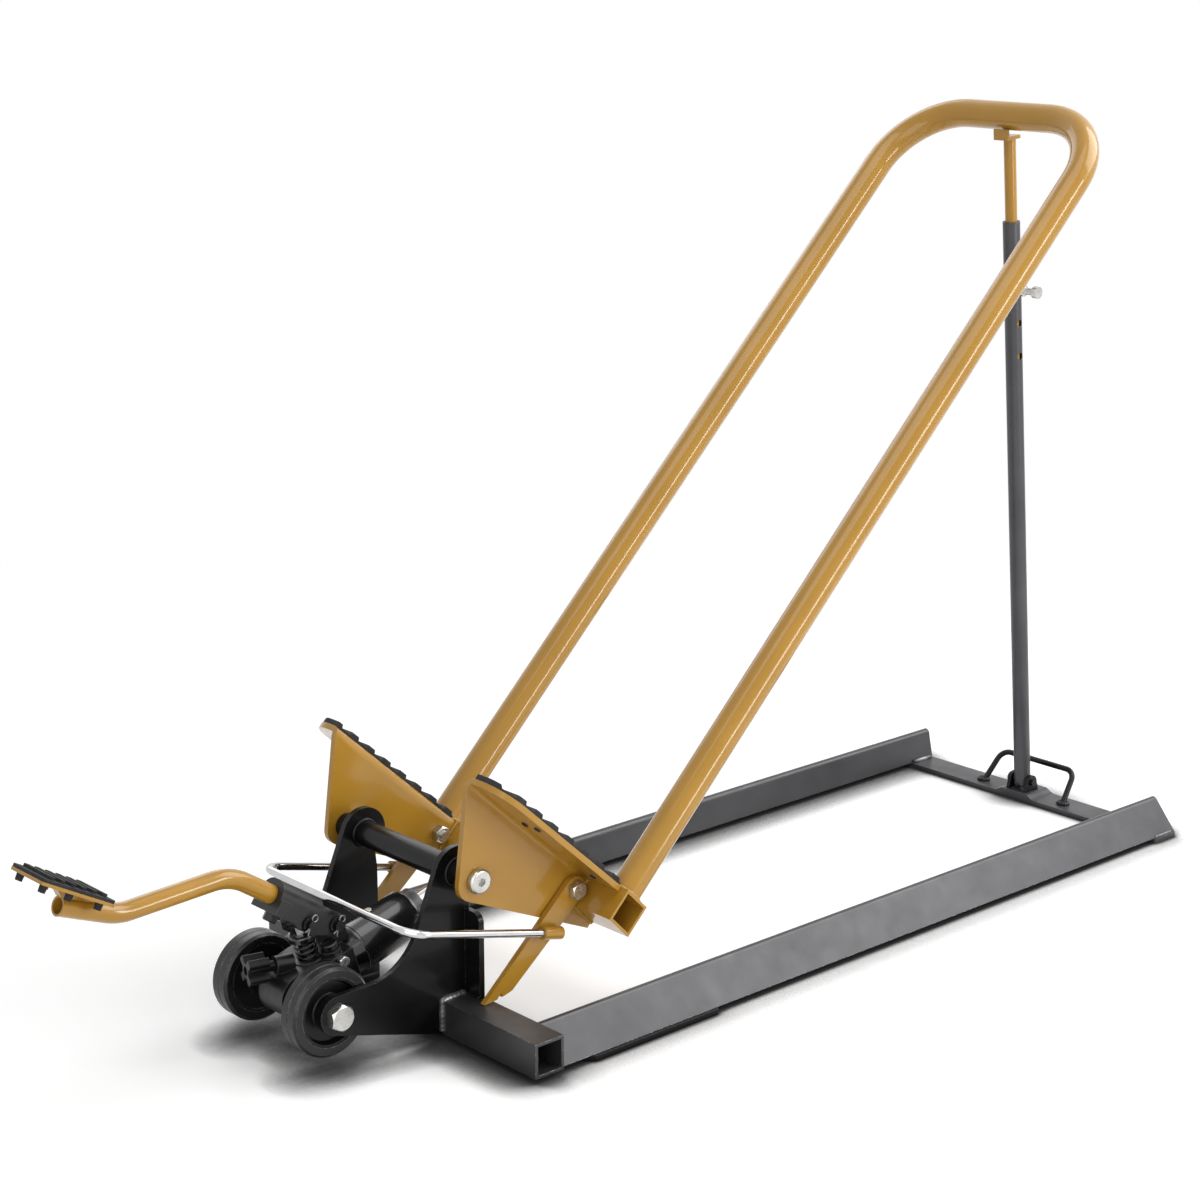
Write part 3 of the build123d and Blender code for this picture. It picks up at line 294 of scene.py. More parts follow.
@dataclass(frozen=True)
class Finish:
    """What every finish has.

    Attributes:
        name: Name of the material.
        colour: Main colour.
        deep: Colour of its darker or duller patches.
        roughness: Middle roughness.
        edge: Rounding of hard edges in millimetres.
    """

    name: str
    colour: Colour
    deep: Colour
    roughness: float
    edge: float = 0.6

    def material(self) -> bpy.types.Material:
        """Make the material.

        Returns:
            The new material.
        """
        sheet = NodeSheet(self.name)
        self.dress(sheet)
        return sheet.material

    def patches(self, sheet: NodeSheet, scale: float, detail: float) -> Socket:
        """Main colour with soft patches of the deeper one.

        Args:
            sheet: The tree.
            scale: Patches to the metre.
            detail: Number of finer layers.

        Returns:
            The colour.
        """
        return sheet.mix(sheet.spread(sheet.noise(scale, detail), 0.35, 0.7), self.colour, self.deep)

    def sheen(self, sheet: NodeSheet, pattern: Socket, smooth: float, dull: float) -> Socket:
        """Roughness that follows a pattern.

        Args:
            sheet: The tree.
            pattern: Noise to follow.
            smooth: Share of the middle roughness where the pattern is low.
            dull: Share of it where the pattern is high.

        Returns:
            The roughness.
        """
        return sheet.spread(pattern, 0.3, 0.7, self.roughness * smooth, self.roughness * dull)

    def dress(self, sheet: NodeSheet) -> None:
        """Fill in the material's nodes.

        Args:
            sheet: The empty tree.
        """
        raise NotImplementedError


@dataclass(frozen=True)
class PowderCoat(Finish):
    """Baked paint: orange peel, faint clouding, paler edges that are partly worn paint and partly a painted
    edge highlight, and a little dust on top.

    Attributes:
        metallic: Share of metal flake.
        shine: Strength of the paint's own reflection.
        coat: Weight of the clear coat.
        gloss: Roughness of the clear coat.
        depth: Refractive index of the clear coat.
        peel: Depth of the orange peel in millimetres.
        rub_and_painted_highlight: Colour of the paler edges, partly worn paint and partly a painted edge
            highlight.
        rub_and_painted_highlight_share: How much of the edges takes that colour.
        dust: How much dust lies on upward faces.
        cloud: Patches of the deeper colour to the metre.
    """

    metallic: float = 0.0
    shine: float = 0.4
    coat: float = 0.0
    gloss: float = 0.1
    depth: float = 1.35
    peel: float = 0.02
    rub_and_painted_highlight: Colour = (0.3, 0.3, 0.3)
    rub_and_painted_highlight_share: float = 0.5
    dust: float = 0.06
    cloud: float = 14.0

    def dress(self, sheet: NodeSheet) -> None:
        """Cloud the colour, lighten the edges with worn paint and a painted edge highlight, settle dust and
        peel the surface.

        Args:
            sheet: The empty tree.
        """
        colour = self.patches(sheet, self.cloud, 4.0)
        # Paler edges: partly worn paint, partly a painted edge highlight.
        grain = sheet.spread(sheet.noise(420.0, 5.0), 0.48, 0.62, 0.0, self.rub_and_painted_highlight_share)
        colour = sheet.mix(sheet.times(sheet.edges(self.edge * 1.6), grain), colour, self.rub_and_painted_highlight)
        specks = sheet.spread(sheet.noise(60.0, 6.0), 0.4, 0.75, 0.0, self.dust)
        colour = sheet.mix(sheet.times(sheet.facing_up(), specks), colour, DUST)
        smooth = sheet.rounded(self.edge)
        sheet.surface(
            Base_Color=colour,
            Metallic=self.metallic,
            Roughness=self.sheen(sheet, sheet.noise(38.0, 5.0), 0.85, 1.2),
            Specular_IOR_Level=self.shine,
            Coat_Weight=self.coat,
            Coat_Roughness=self.gloss,
            Coat_IOR=self.depth,
            Normal=sheet.bump(sheet.noise(320.0, 2.0), self.peel, smooth),
            Coat_Normal=smooth,
        )


@dataclass(frozen=True)
class Casting(Finish):
    """Painted iron casting with a sandy skin.

    Attributes:
        skin: Depth of the sandy skin in millimetres.
        shine: Strength of the paint's reflection.
        worn: Colour of its worn edges.
    """

    skin: float = 0.1
    shine: float = 0.35
    worn: Colour = (0.16, 0.16, 0.165)

    def dress(self, sheet: NodeSheet) -> None:
        """Cloud the colour, brighten the edges and roughen the skin.

        Args:
            sheet: The empty tree.
        """
        colour = self.patches(sheet, 30.0, 5.0)
        colour = sheet.mix(sheet.times(sheet.edges(self.edge * 2), 0.35), colour, self.worn)
        rough = self.sheen(sheet, sheet.noise(90.0, 4.0), 0.8, 1.25)
        normal = sheet.bump(sheet.noise(380.0, 4.0), self.skin, sheet.rounded(self.edge * 1.5))
        sheet.surface(Base_Color=colour, Roughness=rough, Specular_IOR_Level=self.shine, Normal=normal)


@dataclass(frozen=True)
class Plating(Finish):
    """Bare or plated metal with fine drawn scratches.

    Attributes:
        scratch: Depth of the scratches in millimetres.
        drawn: Stretch of the scratches along each axis.
    """

    scratch: float = 0.006
    drawn: Colour = (1.0, 12.0, 1.0)

    def dress(self, sheet: NodeSheet) -> None:
        """Cloud the metal, vary its roughness and draw its scratches.

        Args:
            sheet: The empty tree.
        """
        colour = self.patches(sheet, 55.0, 5.0)
        lines = sheet.noise(260.0, 4.0, sheet.stretched(self.drawn))
        rough = self.sheen(sheet, lines, 0.7, 1.4)
        normal = sheet.bump(lines, self.scratch, sheet.rounded(self.edge * 0.7))
        sheet.surface(Base_Color=colour, Metallic=1.0, Roughness=rough, Normal=normal)


@dataclass(frozen=True)
class Rubber(Finish):
    """Moulded rubber with pores, paler edges that are partly scuffs and partly a painted edge highlight, and
    a dusty top.

    Attributes:
        pores: Depth of the pores in millimetres.
        scuff_and_painted_highlight: Colour of the paler edges, partly scuffed rubber and partly a painted
            edge highlight.
        shine: Strength of its reflection.
        film: Colour of the dust on its top.
    """

    pores: float = 0.05
    scuff_and_painted_highlight: Colour = (0.09, 0.09, 0.09)
    shine: float = 0.35
    film: Colour = (0.3, 0.29, 0.27)

    def dress(self, sheet: NodeSheet) -> None:
        """Cloud the colour, lighten the edges with scuffs and a painted edge highlight, and open the pores.

        Args:
            sheet: The empty tree.
        """
        colour = self.patches(sheet, 45.0, 6.0)
        # Paler edges: partly scuffed rubber, partly a painted edge highlight.
        ragged = sheet.spread(sheet.noise(300.0, 5.0), 0.4, 0.6)
        colour = sheet.mix(sheet.times(sheet.edges(self.edge * 2), ragged), colour, self.scuff_and_painted_highlight)
        specks = sheet.spread(sheet.noise(25.0, 6.0), 0.4, 0.8, 0.0, 0.12)
        colour = sheet.mix(sheet.times(sheet.facing_up(), specks), colour, self.film)
        rough = self.sheen(sheet, sheet.noise(120.0, 4.0), 0.85, 1.15)
        normal = sheet.bump(sheet.noise(900.0, 3.0), self.pores, sheet.rounded(self.edge))
        sheet.surface(Base_Color=colour, Roughness=rough, Specular_IOR_Level=self.shine, Normal=normal)


@dataclass(frozen=True)
class Plastic(Finish):
    """Moulded plastic with a fine spark-eroded grain.

    Attributes:
        shine: Strength of its reflection.
        worn: Colour of its worn edges.
        grain: Depth of the grain in millimetres.
    """

    shine: float = 0.25
    worn: Colour = (0.12, 0.12, 0.12)
    grain: float = 0.03

    def dress(self, sheet: NodeSheet) -> None:
        """Cloud the colour, shine the edges and lay the grain.

        Args:
            sheet: The empty tree.
        """
        colour = self.patches(sheet, 35.0, 4.0)
        colour = sheet.mix(sheet.times(sheet.edges(self.edge * 1.5), 0.3), colour, self.worn)
        rough = self.sheen(sheet, sheet.noise(70.0, 4.0), 0.85, 1.15)
        normal = sheet.bump(sheet.noise(1400.0, 2.0), self.grain, sheet.rounded(self.edge))
        sheet.surface(Base_Color=colour, Roughness=rough, Specular_IOR_Level=self.shine, Normal=normal)


class Coat(Enum):
    """The jack's finishes, each with its recipe."""

    GOLD = PowderCoat(
        "gold_powder_coat", srgb(173, 128, 40), srgb(165, 121, 35), 0.36, shine=0.15, coat=1.0, gloss=0.1,
        depth=1.42, rub_and_painted_highlight=srgb(206, 166, 104), rub_and_painted_highlight_share=0.25, dust=0.02,
    )
    # BLACK and CHARCOAL: their pale edge colour is partly worn paint, partly a painted edge highlight.
    BLACK = PowderCoat(
        "black_powder_coat", srgb(13, 13, 14), srgb(9, 9, 10), 0.36, shine=0.15, coat=0.35, gloss=0.12,
        rub_and_painted_highlight=srgb(120, 120, 122), rub_and_painted_highlight_share=0.7, dust=0.02,
    )
    CHARCOAL = PowderCoat(
        "charcoal_satin_coat", srgb(66, 66, 68), srgb(57, 57, 59), 0.33, 0.8, metallic=0.5, shine=0.6,
        rub_and_painted_highlight=srgb(176, 176, 178), rub_and_painted_highlight_share=0.85, dust=0.04,
    )
    GRAPHITE = PowderCoat(
        "graphite_satin_coat", srgb(78, 77, 80), srgb(68, 67, 70), 0.36, 0.8, metallic=0.4,
        rub_and_painted_highlight=srgb(160, 160, 162), rub_and_painted_highlight_share=0.7, dust=0.04,
    )
    BEAD = PowderCoat(
        "weld_bead_enamel", srgb(128, 128, 131), srgb(50, 50, 52), 0.26, 0.3, metallic=0.6, shine=0.5,
        rub_and_painted_highlight=srgb(190, 190, 192), dust=0.0, cloud=70.0,
    )
    PUMP = Casting("pump_casting_paint", srgb(20, 20, 22), srgb(14, 14, 15), 0.34, shine=0.5)
    RAM = PowderCoat(
        "ram_tube_enamel", srgb(24, 24, 26), srgb(18, 18, 20), 0.26, coat=0.8, gloss=0.08, depth=1.5,
        rub_and_painted_highlight=srgb(110, 110, 112), rub_and_painted_highlight_share=0.35, dust=0.02,
    )
    CHROME = Plating("bright_chrome", (0.62, 0.62, 0.63), (0.54, 0.54, 0.55), 0.14, scratch=0.002)
    ZINC = Plating("bright_zinc", srgb(208, 207, 202), srgb(184, 184, 181), 0.28)
    STEEL = Plating("plain_steel", srgb(140, 140, 142), srgb(112, 112, 114), 0.36, scratch=0.01)
    PHOSPHATE = Plating("black_phosphate", srgb(64, 64, 66), srgb(48, 48, 50), 0.38, scratch=0.008)
    RUBBER = Rubber("moulded_rubber", srgb(36, 36, 37), srgb(27, 27, 28), 0.74)
    # The tyre's pale edge colour is partly scuffs, partly a painted edge highlight.
    TYRE = Rubber(
        "solid_tyre", srgb(22, 22, 23), srgb(16, 16, 17), 0.3, 0.9, scuff_and_painted_highlight=srgb(130, 130, 130), shine=0.4,
    )
    PLASTIC = Plastic("black_moulding", srgb(16, 16, 17), srgb(11, 11, 12), 0.34)


class Palette:
    """Makes each finish once and hands it out."""

    def __init__(self) -> None:
        """Start with no materials made."""
        self.made: dict[Coat, bpy.types.Material] = {}

    def of(self, coat: Coat) -> bpy.types.Material:
        """Material of a finish.

        Args:
            coat: The finish.

        Returns:
            Its material, made at the first call.
        """
        if coat not in self.made:
            self.made[coat] = coat.value.material()
        return self.made[coat]

    def paint(self, piece: bpy.types.Object, coat: Coat) -> None:
        """Give a piece one finish all over.

        Args:
            piece: The object.
            coat: The finish.
        """
        piece.data.materials.clear()
        piece.data.materials.append(self.of(coat))


@dataclass(frozen=True)
class Yard:
    """Where the maker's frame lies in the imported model.

    Attributes:
        front: Place of the front tubes' front face along X, in metres.
    """

    front: float

    def points(self, places: Array) -> Array:
        """Move points from the maker's millimetres to the model's metres.

        Args:
            places: Points, the last axis X, Y, Z.

        Returns:
            The same points in the model.
        """
        return np.asarray(places, float) * MM + np.array([self.front, 0.0, 0.0])


def spaced(corners: Array, pitch: float) -> Array:
    """Points a fixed distance apart along a line of corners.

    Args:
        corners: Corner points, one to a row.
        pitch: Distance between points.

    Returns:
        The points, by linear interpolation on the distance run.
    """
    corners = np.asarray(corners, float)
    run = np.concatenate([[0.0], np.cumsum(np.linalg.norm(np.diff(corners, axis=0), axis=1))])
    count = max(4, int(run[-1] / pitch) + 1)
    wanted = np.linspace(0.0, run[-1], count)
    return np.stack([np.interp(wanted, run, corners[:, axis]) for axis in range(3)], axis=1)


def ring(centre: Array, axis: Array, radius: float, count: int = 72) -> Array:
    """Points on a circle: centre + radius (cos t u + sin t v) with u and v square to the axis.

    Args:
        centre: Middle of the circle.
        axis: Direction square to it.
        radius: Its radius.
        count: Number of points.

    Returns:
        The points, without the first repeated.
    """
    axis = np.asarray(axis, float) / np.linalg.norm(axis)
    aside = [0.3, 1.0, 0.2] if abs(axis[1]) < 0.9 else [1.0, 0.0, 0.0]
    first = np.cross(axis, aside)
    first = first / np.linalg.norm(first)
    second = np.cross(axis, first)
    turn = np.linspace(0.0, 2 * np.pi, count, endpoint=False)[:, None]
    return np.asarray(centre, float) + radius * (np.cos(turn) * first + np.sin(turn) * second)


def headings(path: Array, closed: bool) -> Array:
    """Unit tangents of a path by central differences.

    Args:
        path: Points, one to a row.
        closed: Whether the last point joins the first.

    Returns:
        The tangents.
    """
    if closed:
        steps = np.roll(path, -1, axis=0) - np.roll(path, 1, axis=0)
    else:
        steps = np.gradient(path, axis=0)
    return steps / np.linalg.norm(steps, axis=1, keepdims=True)


def carried(path: Array, axis: Array, section: Array, closed: bool) -> Array:
    """Carry a section along a path: point = path + section x side + section y axis, side = tangent x axis.

    Args:
        path: Points, n rows.
        axis: Direction kept for the section's second coordinate.
        section: Section points, m rows or n by m rows of two.
        closed: Whether the path joins itself.

    Returns:
        Grid of n by m points.
    """
    tangent = headings(path, closed)
    up = np.broadcast_to(np.asarray(axis, float), tangent.shape)
    side = np.cross(tangent, up)
    side = side / np.linalg.norm(side, axis=1, keepdims=True)
    up = np.cross(side, tangent)
    section = np.broadcast_to(section, (len(path), *section.shape[-2:]))
    return path[:, None] + section[..., :1] * side[:, None] + section[..., 1:] * up[:, None]


@dataclass
class SurfaceStock:
    """Grids waiting to become one mesh.

    Attributes:
        points: Points of the grids so far.
        faces: Faces of the grids so far.
        size: Number of points so far.
    """

    points: list[Array] = field(default_factory=list)
    faces: list[list[int]] = field(default_factory=list)
    size: int = 0

    def lay(self, grid: Array, closed: bool) -> None:
        """Add a grid whose second direction always closes on itself.

        Args:
            grid: Points, n by m rows of three.
            closed: Whether the first direction closes too, or gets an end face at each end.
        """
        rows, columns = grid.shape[:2]
        ids = np.arange(rows * columns).reshape(rows, columns) + self.size
        onward = np.roll(ids, -1, axis=0)
        quads = np.stack([ids, onward, np.roll(onward, -1, axis=1), np.roll(ids, -1, axis=1)], axis=-1)
        quads = quads if closed else quads[:-1]
        self.faces += quads.reshape(-1, 4).tolist()
        if not closed:
            self.faces += [ids[0].tolist(), ids[-1, ::-1].tolist()]
        self.points.append(grid.reshape(-1, 3))
        self.size += rows * columns

    def piece(self, name: str, yard: Yard, crease: float | None = None) -> bpy.types.Object:
        """Turn the grids into one object with outward faces.

        Args:
            name: Name of the object.
            yard: Where the maker's frame lies.
            crease: Angle in degrees past which an edge stays sharp, or none for smooth all over.

        Returns:
            The object, linked to the scene.
        """
        mesh = bpy.data.meshes.new(name)
        mesh.from_pydata(yard.points(np.concatenate(self.points)).tolist(), [], self.faces)
        shape = bmesh.new()
        shape.from_mesh(mesh)
        bmesh.ops.recalc_face_normals(shape, faces=shape.faces)
        shape.to_mesh(mesh)
        shape.free()
        mesh.polygons.foreach_set("use_smooth", [True] * len(mesh.polygons))
        if crease:
            mesh.set_sharp_from_angle(angle=math.radians(crease))
        piece = bpy.data.objects.new(name, mesh)
        bpy.context.scene.collection.objects.link(piece)
        return piece


@dataclass
class Welds(SurfaceStock):
    """Weld beads of one sub-assembly.

    Attributes:
        radius: Half the width of a bead in millimetres.
        ripple: Length of one ripple in millimetres.
        swell: Height of a ripple as a share of the radius.
        bow: How far a ripple bows round the bead, in radians of its own wave.
        drift: Slow change of the radius along the bead, as a share of it.
    """

    radius: float = 2.2
    ripple: float = 2.4
    swell: float = 0.07
    bow: float = 1.1
    drift: float = 0.06

    def bead(self, path: Array, axis: Array, closed: bool, radius: float | None = None) -> None:
        """Lay a bead: a round section whose radius swells with each ripple, the ripples bowed.

        Args:
            path: Points along the middle of the bead.
            axis: A direction square to the path.
            closed: Whether the bead closes on itself.
            radius: Half its width, if not the usual one.
        """
        radius = radius or self.radius
        path = np.asarray(path, float)
        step = np.linalg.norm(path[1] - path[0])
        run = step * np.arange(1, len(path) + 1)[:, None]
        around = np.linspace(0.0, 2 * np.pi, 10, endpoint=False)[None]
        wave = np.cos(2 * np.pi * run / self.ripple + self.bow * np.cos(around))
        slow = np.sin(0.31 * run + 0.7)
        size = radius * (1.0 + self.swell * wave + self.drift * slow)
        if not closed:
            ends = np.minimum(np.arange(len(path)), np.arange(len(path))[::-1]) / 2.0
            size = size * np.sqrt(np.clip(ends + 0.25, 0.0, 1.0))[:, None]
        section = np.stack([size * np.cos(around), size * np.sin(around)], axis=-1)
        self.lay(carried(path, axis, section, closed), closed)

    def line(self, start: Array, end: Array, axis: Array, radius: float | None = None) -> None:
        """Lay a straight bead from one point to another.

        Args:
            start: First point.
            end: Last point.
            axis: A direction square to the run.
            radius: Half its width, if not the usual one.
        """
        self.bead(spaced(np.array([start, end], float), self.ripple / 4), axis, False, radius)

    def hoop(self, centre: Array, axis: Array, radius: float, width: float | None = None) -> None:
        """Lay a round bead.

        Args:
            centre: Middle of the circle.
            axis: Direction square to it.
            radius: Radius of the bead's middle line.
            width: Half the bead's width, if not the usual one.
        """
        count = int(2 * np.pi * radius / (self.ripple / 4))
        self.bead(ring(centre, axis, radius, count), axis, True, width)


@dataclass
class SubAssembly:
    """What every sub-assembly holds.

    Attributes:
        yard: Where the maker's frame lies.
        palette: The finishes.
        nodes: The CAD objects by name.
    """

    yard: Yard
    palette: Palette
    nodes: dict[str, bpy.types.Object]

    def coat(self, coat: Coat, *names: str) -> None:
        """Give CAD nodes a finish.

        Args:
            coat: The finish.
            names: The nodes.
        """
        for name in names:
            self.palette.paint(self.nodes[name], coat)
            LOG.info("%s: %s", name, coat.value.name)

    def fit(
        self, stock: SurfaceStock, name: str, body: str, slot: str, coat: Coat, crease: float | None = None
    ) -> bpy.types.Object:
        """Make a new piece that rides on a body.

        Args:
            stock: Its surfaces.
            name: Its name.
            body: The CAD body it moves with.
            slot: The record's material slot that it belongs to; not used.
            coat: Its finish.
            crease: Angle in degrees past which an edge stays sharp, or none for smooth all over.

        Returns:
            The object.
        """
        piece = stock.piece(name, self.yard, crease)
        self.palette.paint(piece, coat)
        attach(piece, body)
        LOG.info("%s: new piece on %s, %d faces", name, body, len(piece.data.polygons))
        return piece


@dataclass
class Base(SubAssembly):
    """Front tubes, rails, skids, rear bar, carry handle and side plates.

    Attributes:
        tube: Side of the square front tubes.
        floor: Z of the front tubes' underside and of the rear bar's top.
        plate_out: Y of a side plate's outer face.
        plate_in: Y of its inner face.
        flange: X of the front face of its folded edge.
        flange_reach: Y of the folded edge's end.
        tie_top: Z of the tie plate's top.
        axle: X and Z of the axle tube.
        axle_radius: Its radius.
        rail_outer: Y of a rail's outer foot.
        rail_inner: Y of its inner face.
        rail_apex: Y of its top fold.
        rail_rear: X of its rear end.
        rail_seams: How far before that end its inner and outer welds start and stop, and their half width.
        handle_foot: X and Y of a foot of the carry handle.
        foot_bead: Radius and half width of the weld round it.
        corner_bead: Half width of the weld between a front tube and a side plate.
        axle_bead: Half width of the welds round the axle tube.
        tie_bead: Half width of the tie plate's welds.
        bar: X of the front and rear face of the rear bar's raised stretch.
        step: Y where that stretch begins to fall and where it ends.
        step_height: How far the bar is raised.
    """

    tube: float = 35.0
    floor: float = 6.0
    plate_out: float = 76.0
    plate_in: float = 70.0
    flange: float = 29.0
    flange_reach: float = 98.0
    tie_top: float = 14.0
    axle: tuple[float, float] = (20.0, 168.0)
    axle_radius: float = 13.0
    rail_outer: float = 209.0
    rail_inner: float = 165.7
    rail_apex: float = 175.5
    rail_rear: float = 1000.0
    rail_seams: tuple[tuple[float, float, float], ...] = ((38.0, 4.0, 3.2), (37.0, 5.0, 2.2))
    handle_foot: tuple[float, float] = (978.0, 62.0)
    foot_bead: tuple[float, float] = (4.9, 3.3)
    corner_bead: float = 3.9
    axle_bead: float = 2.0
    tie_bead: float = 1.8
    bar: tuple[float, float] = (959.9, 999.9)
    step: tuple[float, float] = (17.0, 31.0)
    step_height: float = 5.2

    def dress(self) -> None:
        """Paint the base's nodes."""
        self.coat(Coat.BLACK, "skids", "carry_handle", "prop_clevis", "tie_plate")
        self.coat(Coat.BLACK, "left_side_plate", "right_side_plate", "axle_tube", "wheel_sleeve")
        self.coat(Coat.CHARCOAL, "front_tubes", "left_rail", "right_rail")
        self.coat(Coat.GRAPHITE, "rear_bar")
        self.coat(Coat.ZINC, "pivot_bolts", "wheel_bolt", "wheel_nut")
        self.coat(Coat.PHOSPHATE, "prop_hinge_pin")

    def weld(self) -> None:
        """Lay the welds of the base, each bead's middle a little off the corner that it fills."""
        welds, front = Welds(), Welds(ripple=5.0, swell=0.025)
        low, top = self.floor, self.floor + self.tube
        axle_x, axle_z = self.axle
        foot_x, foot_y = self.handle_foot
        foot_radius, foot_width = self.foot_bead
        for side in SIDES:
            out, inside = side * self.plate_out, side * self.plate_in
            for face, away in ((out, side), (inside, -side)):
                centre = (axle_x, face + away * 0.6, axle_z)
                welds.hoop(centre, LEFTWARD, self.axle_radius + 0.6, self.axle_bead)
            y = out + side * 0.8
            corner = [(self.flange - 1, y, top + 0.6), (-0.4, y, top + 0.4), (-0.4, y, low + 3)]
            front.bead(spaced(np.array(corner), front.ripple / 5), LEFTWARD, False, self.corner_bead)
            x, z = self.flange - 0.4, top + 0.5
            welds.line((x, out + side * 3, z), (x, side * self.flange_reach, z), UPWARD)
            x, apex = self.tube + 0.6, side * (self.rail_apex + 3)
            welds.line((x, side * self.rail_outer, low + 3), (x, apex, top - 3), REARWARD)
            corners = ((self.rail_inner - 0.8, low + 1), (self.rail_outer - 0.4, low + 0.6))
            for (y, z), (start, stop, width) in zip(corners, self.rail_seams):
                ends = [(self.rail_rear - before, side * y, z) for before in (start, stop)]
                front.line(*ends, UPWARD, width)
            welds.hoop((foot_x, side * foot_y, low + 0.8), UPWARD, foot_radius, foot_width)
            y, z = inside - side * 0.4, self.tie_top + 0.4
            welds.line((1, y, z), (self.tube - 1, y, z), UPWARD, self.tie_bead)
        self.fit(welds, "base_welds", "base", "black_paint", Coat.BLACK)
        self.fit(front, "front_welds", "base", "grey_paint", Coat.BEAD)

    def raise_bar(self) -> None:
        """Raise the rear bar under the prop: a block along Y whose ends drop by half a cosine."""
        inner, outer = self.step
        y = np.linspace(-outer, outer, 93)[:, None]
        share = np.clip((outer - np.abs(y)) / (outer - inner), 0.0, 1.0)
        top = self.floor + 0.05 + self.step_height * (0.5 - 0.5 * np.cos(np.pi * share))
        foot = np.full_like(top, self.floor / 2)
        front, rear = self.bar
        x = np.array([front, rear, rear, front])
        z = np.concatenate([foot, foot, top, top], axis=1)
        stock = SurfaceStock()
        stock.lay(np.stack(np.broadcast_arrays(x, y, z), axis=-1), False)
        self.fit(stock, "bar_step", "base", "black_paint", Coat.GRAPHITE, crease=30.0)


@dataclass
class Wheels(SubAssembly):
    """The two transport wheels and the thread of their bolt.

    Attributes:
        bolt: X and Z of the bolt.
        thread: Y of both ends of its bare thread.
        radius: Radius of the bolt's plain tail.
        pitch: Pitch of the thread.
        depth: Depth of the thread.
        crest: How far its crests stand off the tail, and the least that its roots do.
    """

    bolt: tuple[float, float] = (-124.0, 62.0)
    thread: tuple[float, float] = (88.2, 91.9)
    radius: float = 8.0
    pitch: float = 2.0
    depth: float = 0.55
    crest: tuple[float, float] = (0.12, 0.02)

    def dress(self) -> None:
        """Finish the tyres and centres."""
        self.coat(Coat.TYRE, "left_tyre", "right_tyre")
        self.coat(Coat.PLASTIC, "left_hub", "right_hub")

    def cut_thread(self) -> None:
        """Thread on the bolt's tail: crest - depth x (1 - triangle wave of turn + height / pitch)."""
        heights = np.linspace(*self.thread, 25)[:, None]
        turns = np.linspace(0.0, 1.0, 48, endpoint=False)[None]
        wave = np.abs(((heights / self.pitch + turns) % 1.0) * 2 - 1)
        crest, root = self.crest
        radius = self.radius + np.maximum(crest - self.depth * (1 - wave), root)
        x = self.bolt[0] + radius * np.cos(2 * np.pi * turns)
        z = self.bolt[1] + radius * np.sin(2 * np.pi * turns)
        stock = SurfaceStock()
        stock.lay(np.stack(np.broadcast_arrays(x, heights, z), axis=-1), False)
        self.fit(stock, "wheel_bolt_thread", "base", "zinc", Coat.ZINC)


@dataclass
class Lift(SubAssembly):
    """The U-shaped lift frame and its cross tube.

    Attributes:
        cross: X and Z of the square cross tube's middle.
        side: Its side.
        angle: Slope of the lift frame in degrees.
        leg: Y of a leg of the U.
        leg_radius: Its radius.
        bracket: Y of a lift bracket's inner and outer face.
        bead: Half width of the welds.
        proud: How far a bead's middle stands off its corner.
    """

    cross: tuple[float, float] = (164.5, 112.0)
    side: float = 35.0
    angle: float = 44.5
    leg: float = 142.5
    leg_radius: float = 16.0
    bracket: tuple[float, float] = (101.0, 107.0)
    bead: float = 2.0
    proud: float = 0.6

    def dress(self) -> None:
        """Finish the lift frame's nodes."""
        self.coat(Coat.GOLD, "lift_tube", "lift_cross_tube", "ram_lugs")
        self.coat(Coat.ZINC, "latch_bolts", "latch_nuts", "ram_pin")

    def weld(self) -> None:
        """Lay the welds round the cross tube."""
        welds = Welds()
        turn = math.radians(self.angle)
        along = np.array([math.cos(turn), 0.0, math.sin(turn)])
        across = np.array([-math.sin(turn), 0.0, math.cos(turn)])
        centre = np.array([self.cross[0], 0.0, self.cross[1]])
        half = self.side / 2 + self.proud
        corners = [(-1, -1), (1, -1), (1, 1), (-1, 1), (-1, -1)]
        inner, outer = self.bracket
        for sign in SIDES:
            foot = centre + along * half + LEFTWARD * sign * self.leg
            welds.hoop(foot, along, self.leg_radius + 0.2, self.bead)
            for face in (outer + self.proud, inner - self.proud):
                middle = centre + LEFTWARD * sign * face
                square = [middle + half * (a * along + b * across) for a, b in corners]
                path = spaced(np.array(square), welds.ripple / 4)[:-1]
                welds.bead(path, LEFTWARD, True, self.bead)
        self.fit(welds, "lift_welds", "lift", "gold_paint", Coat.GOLD)


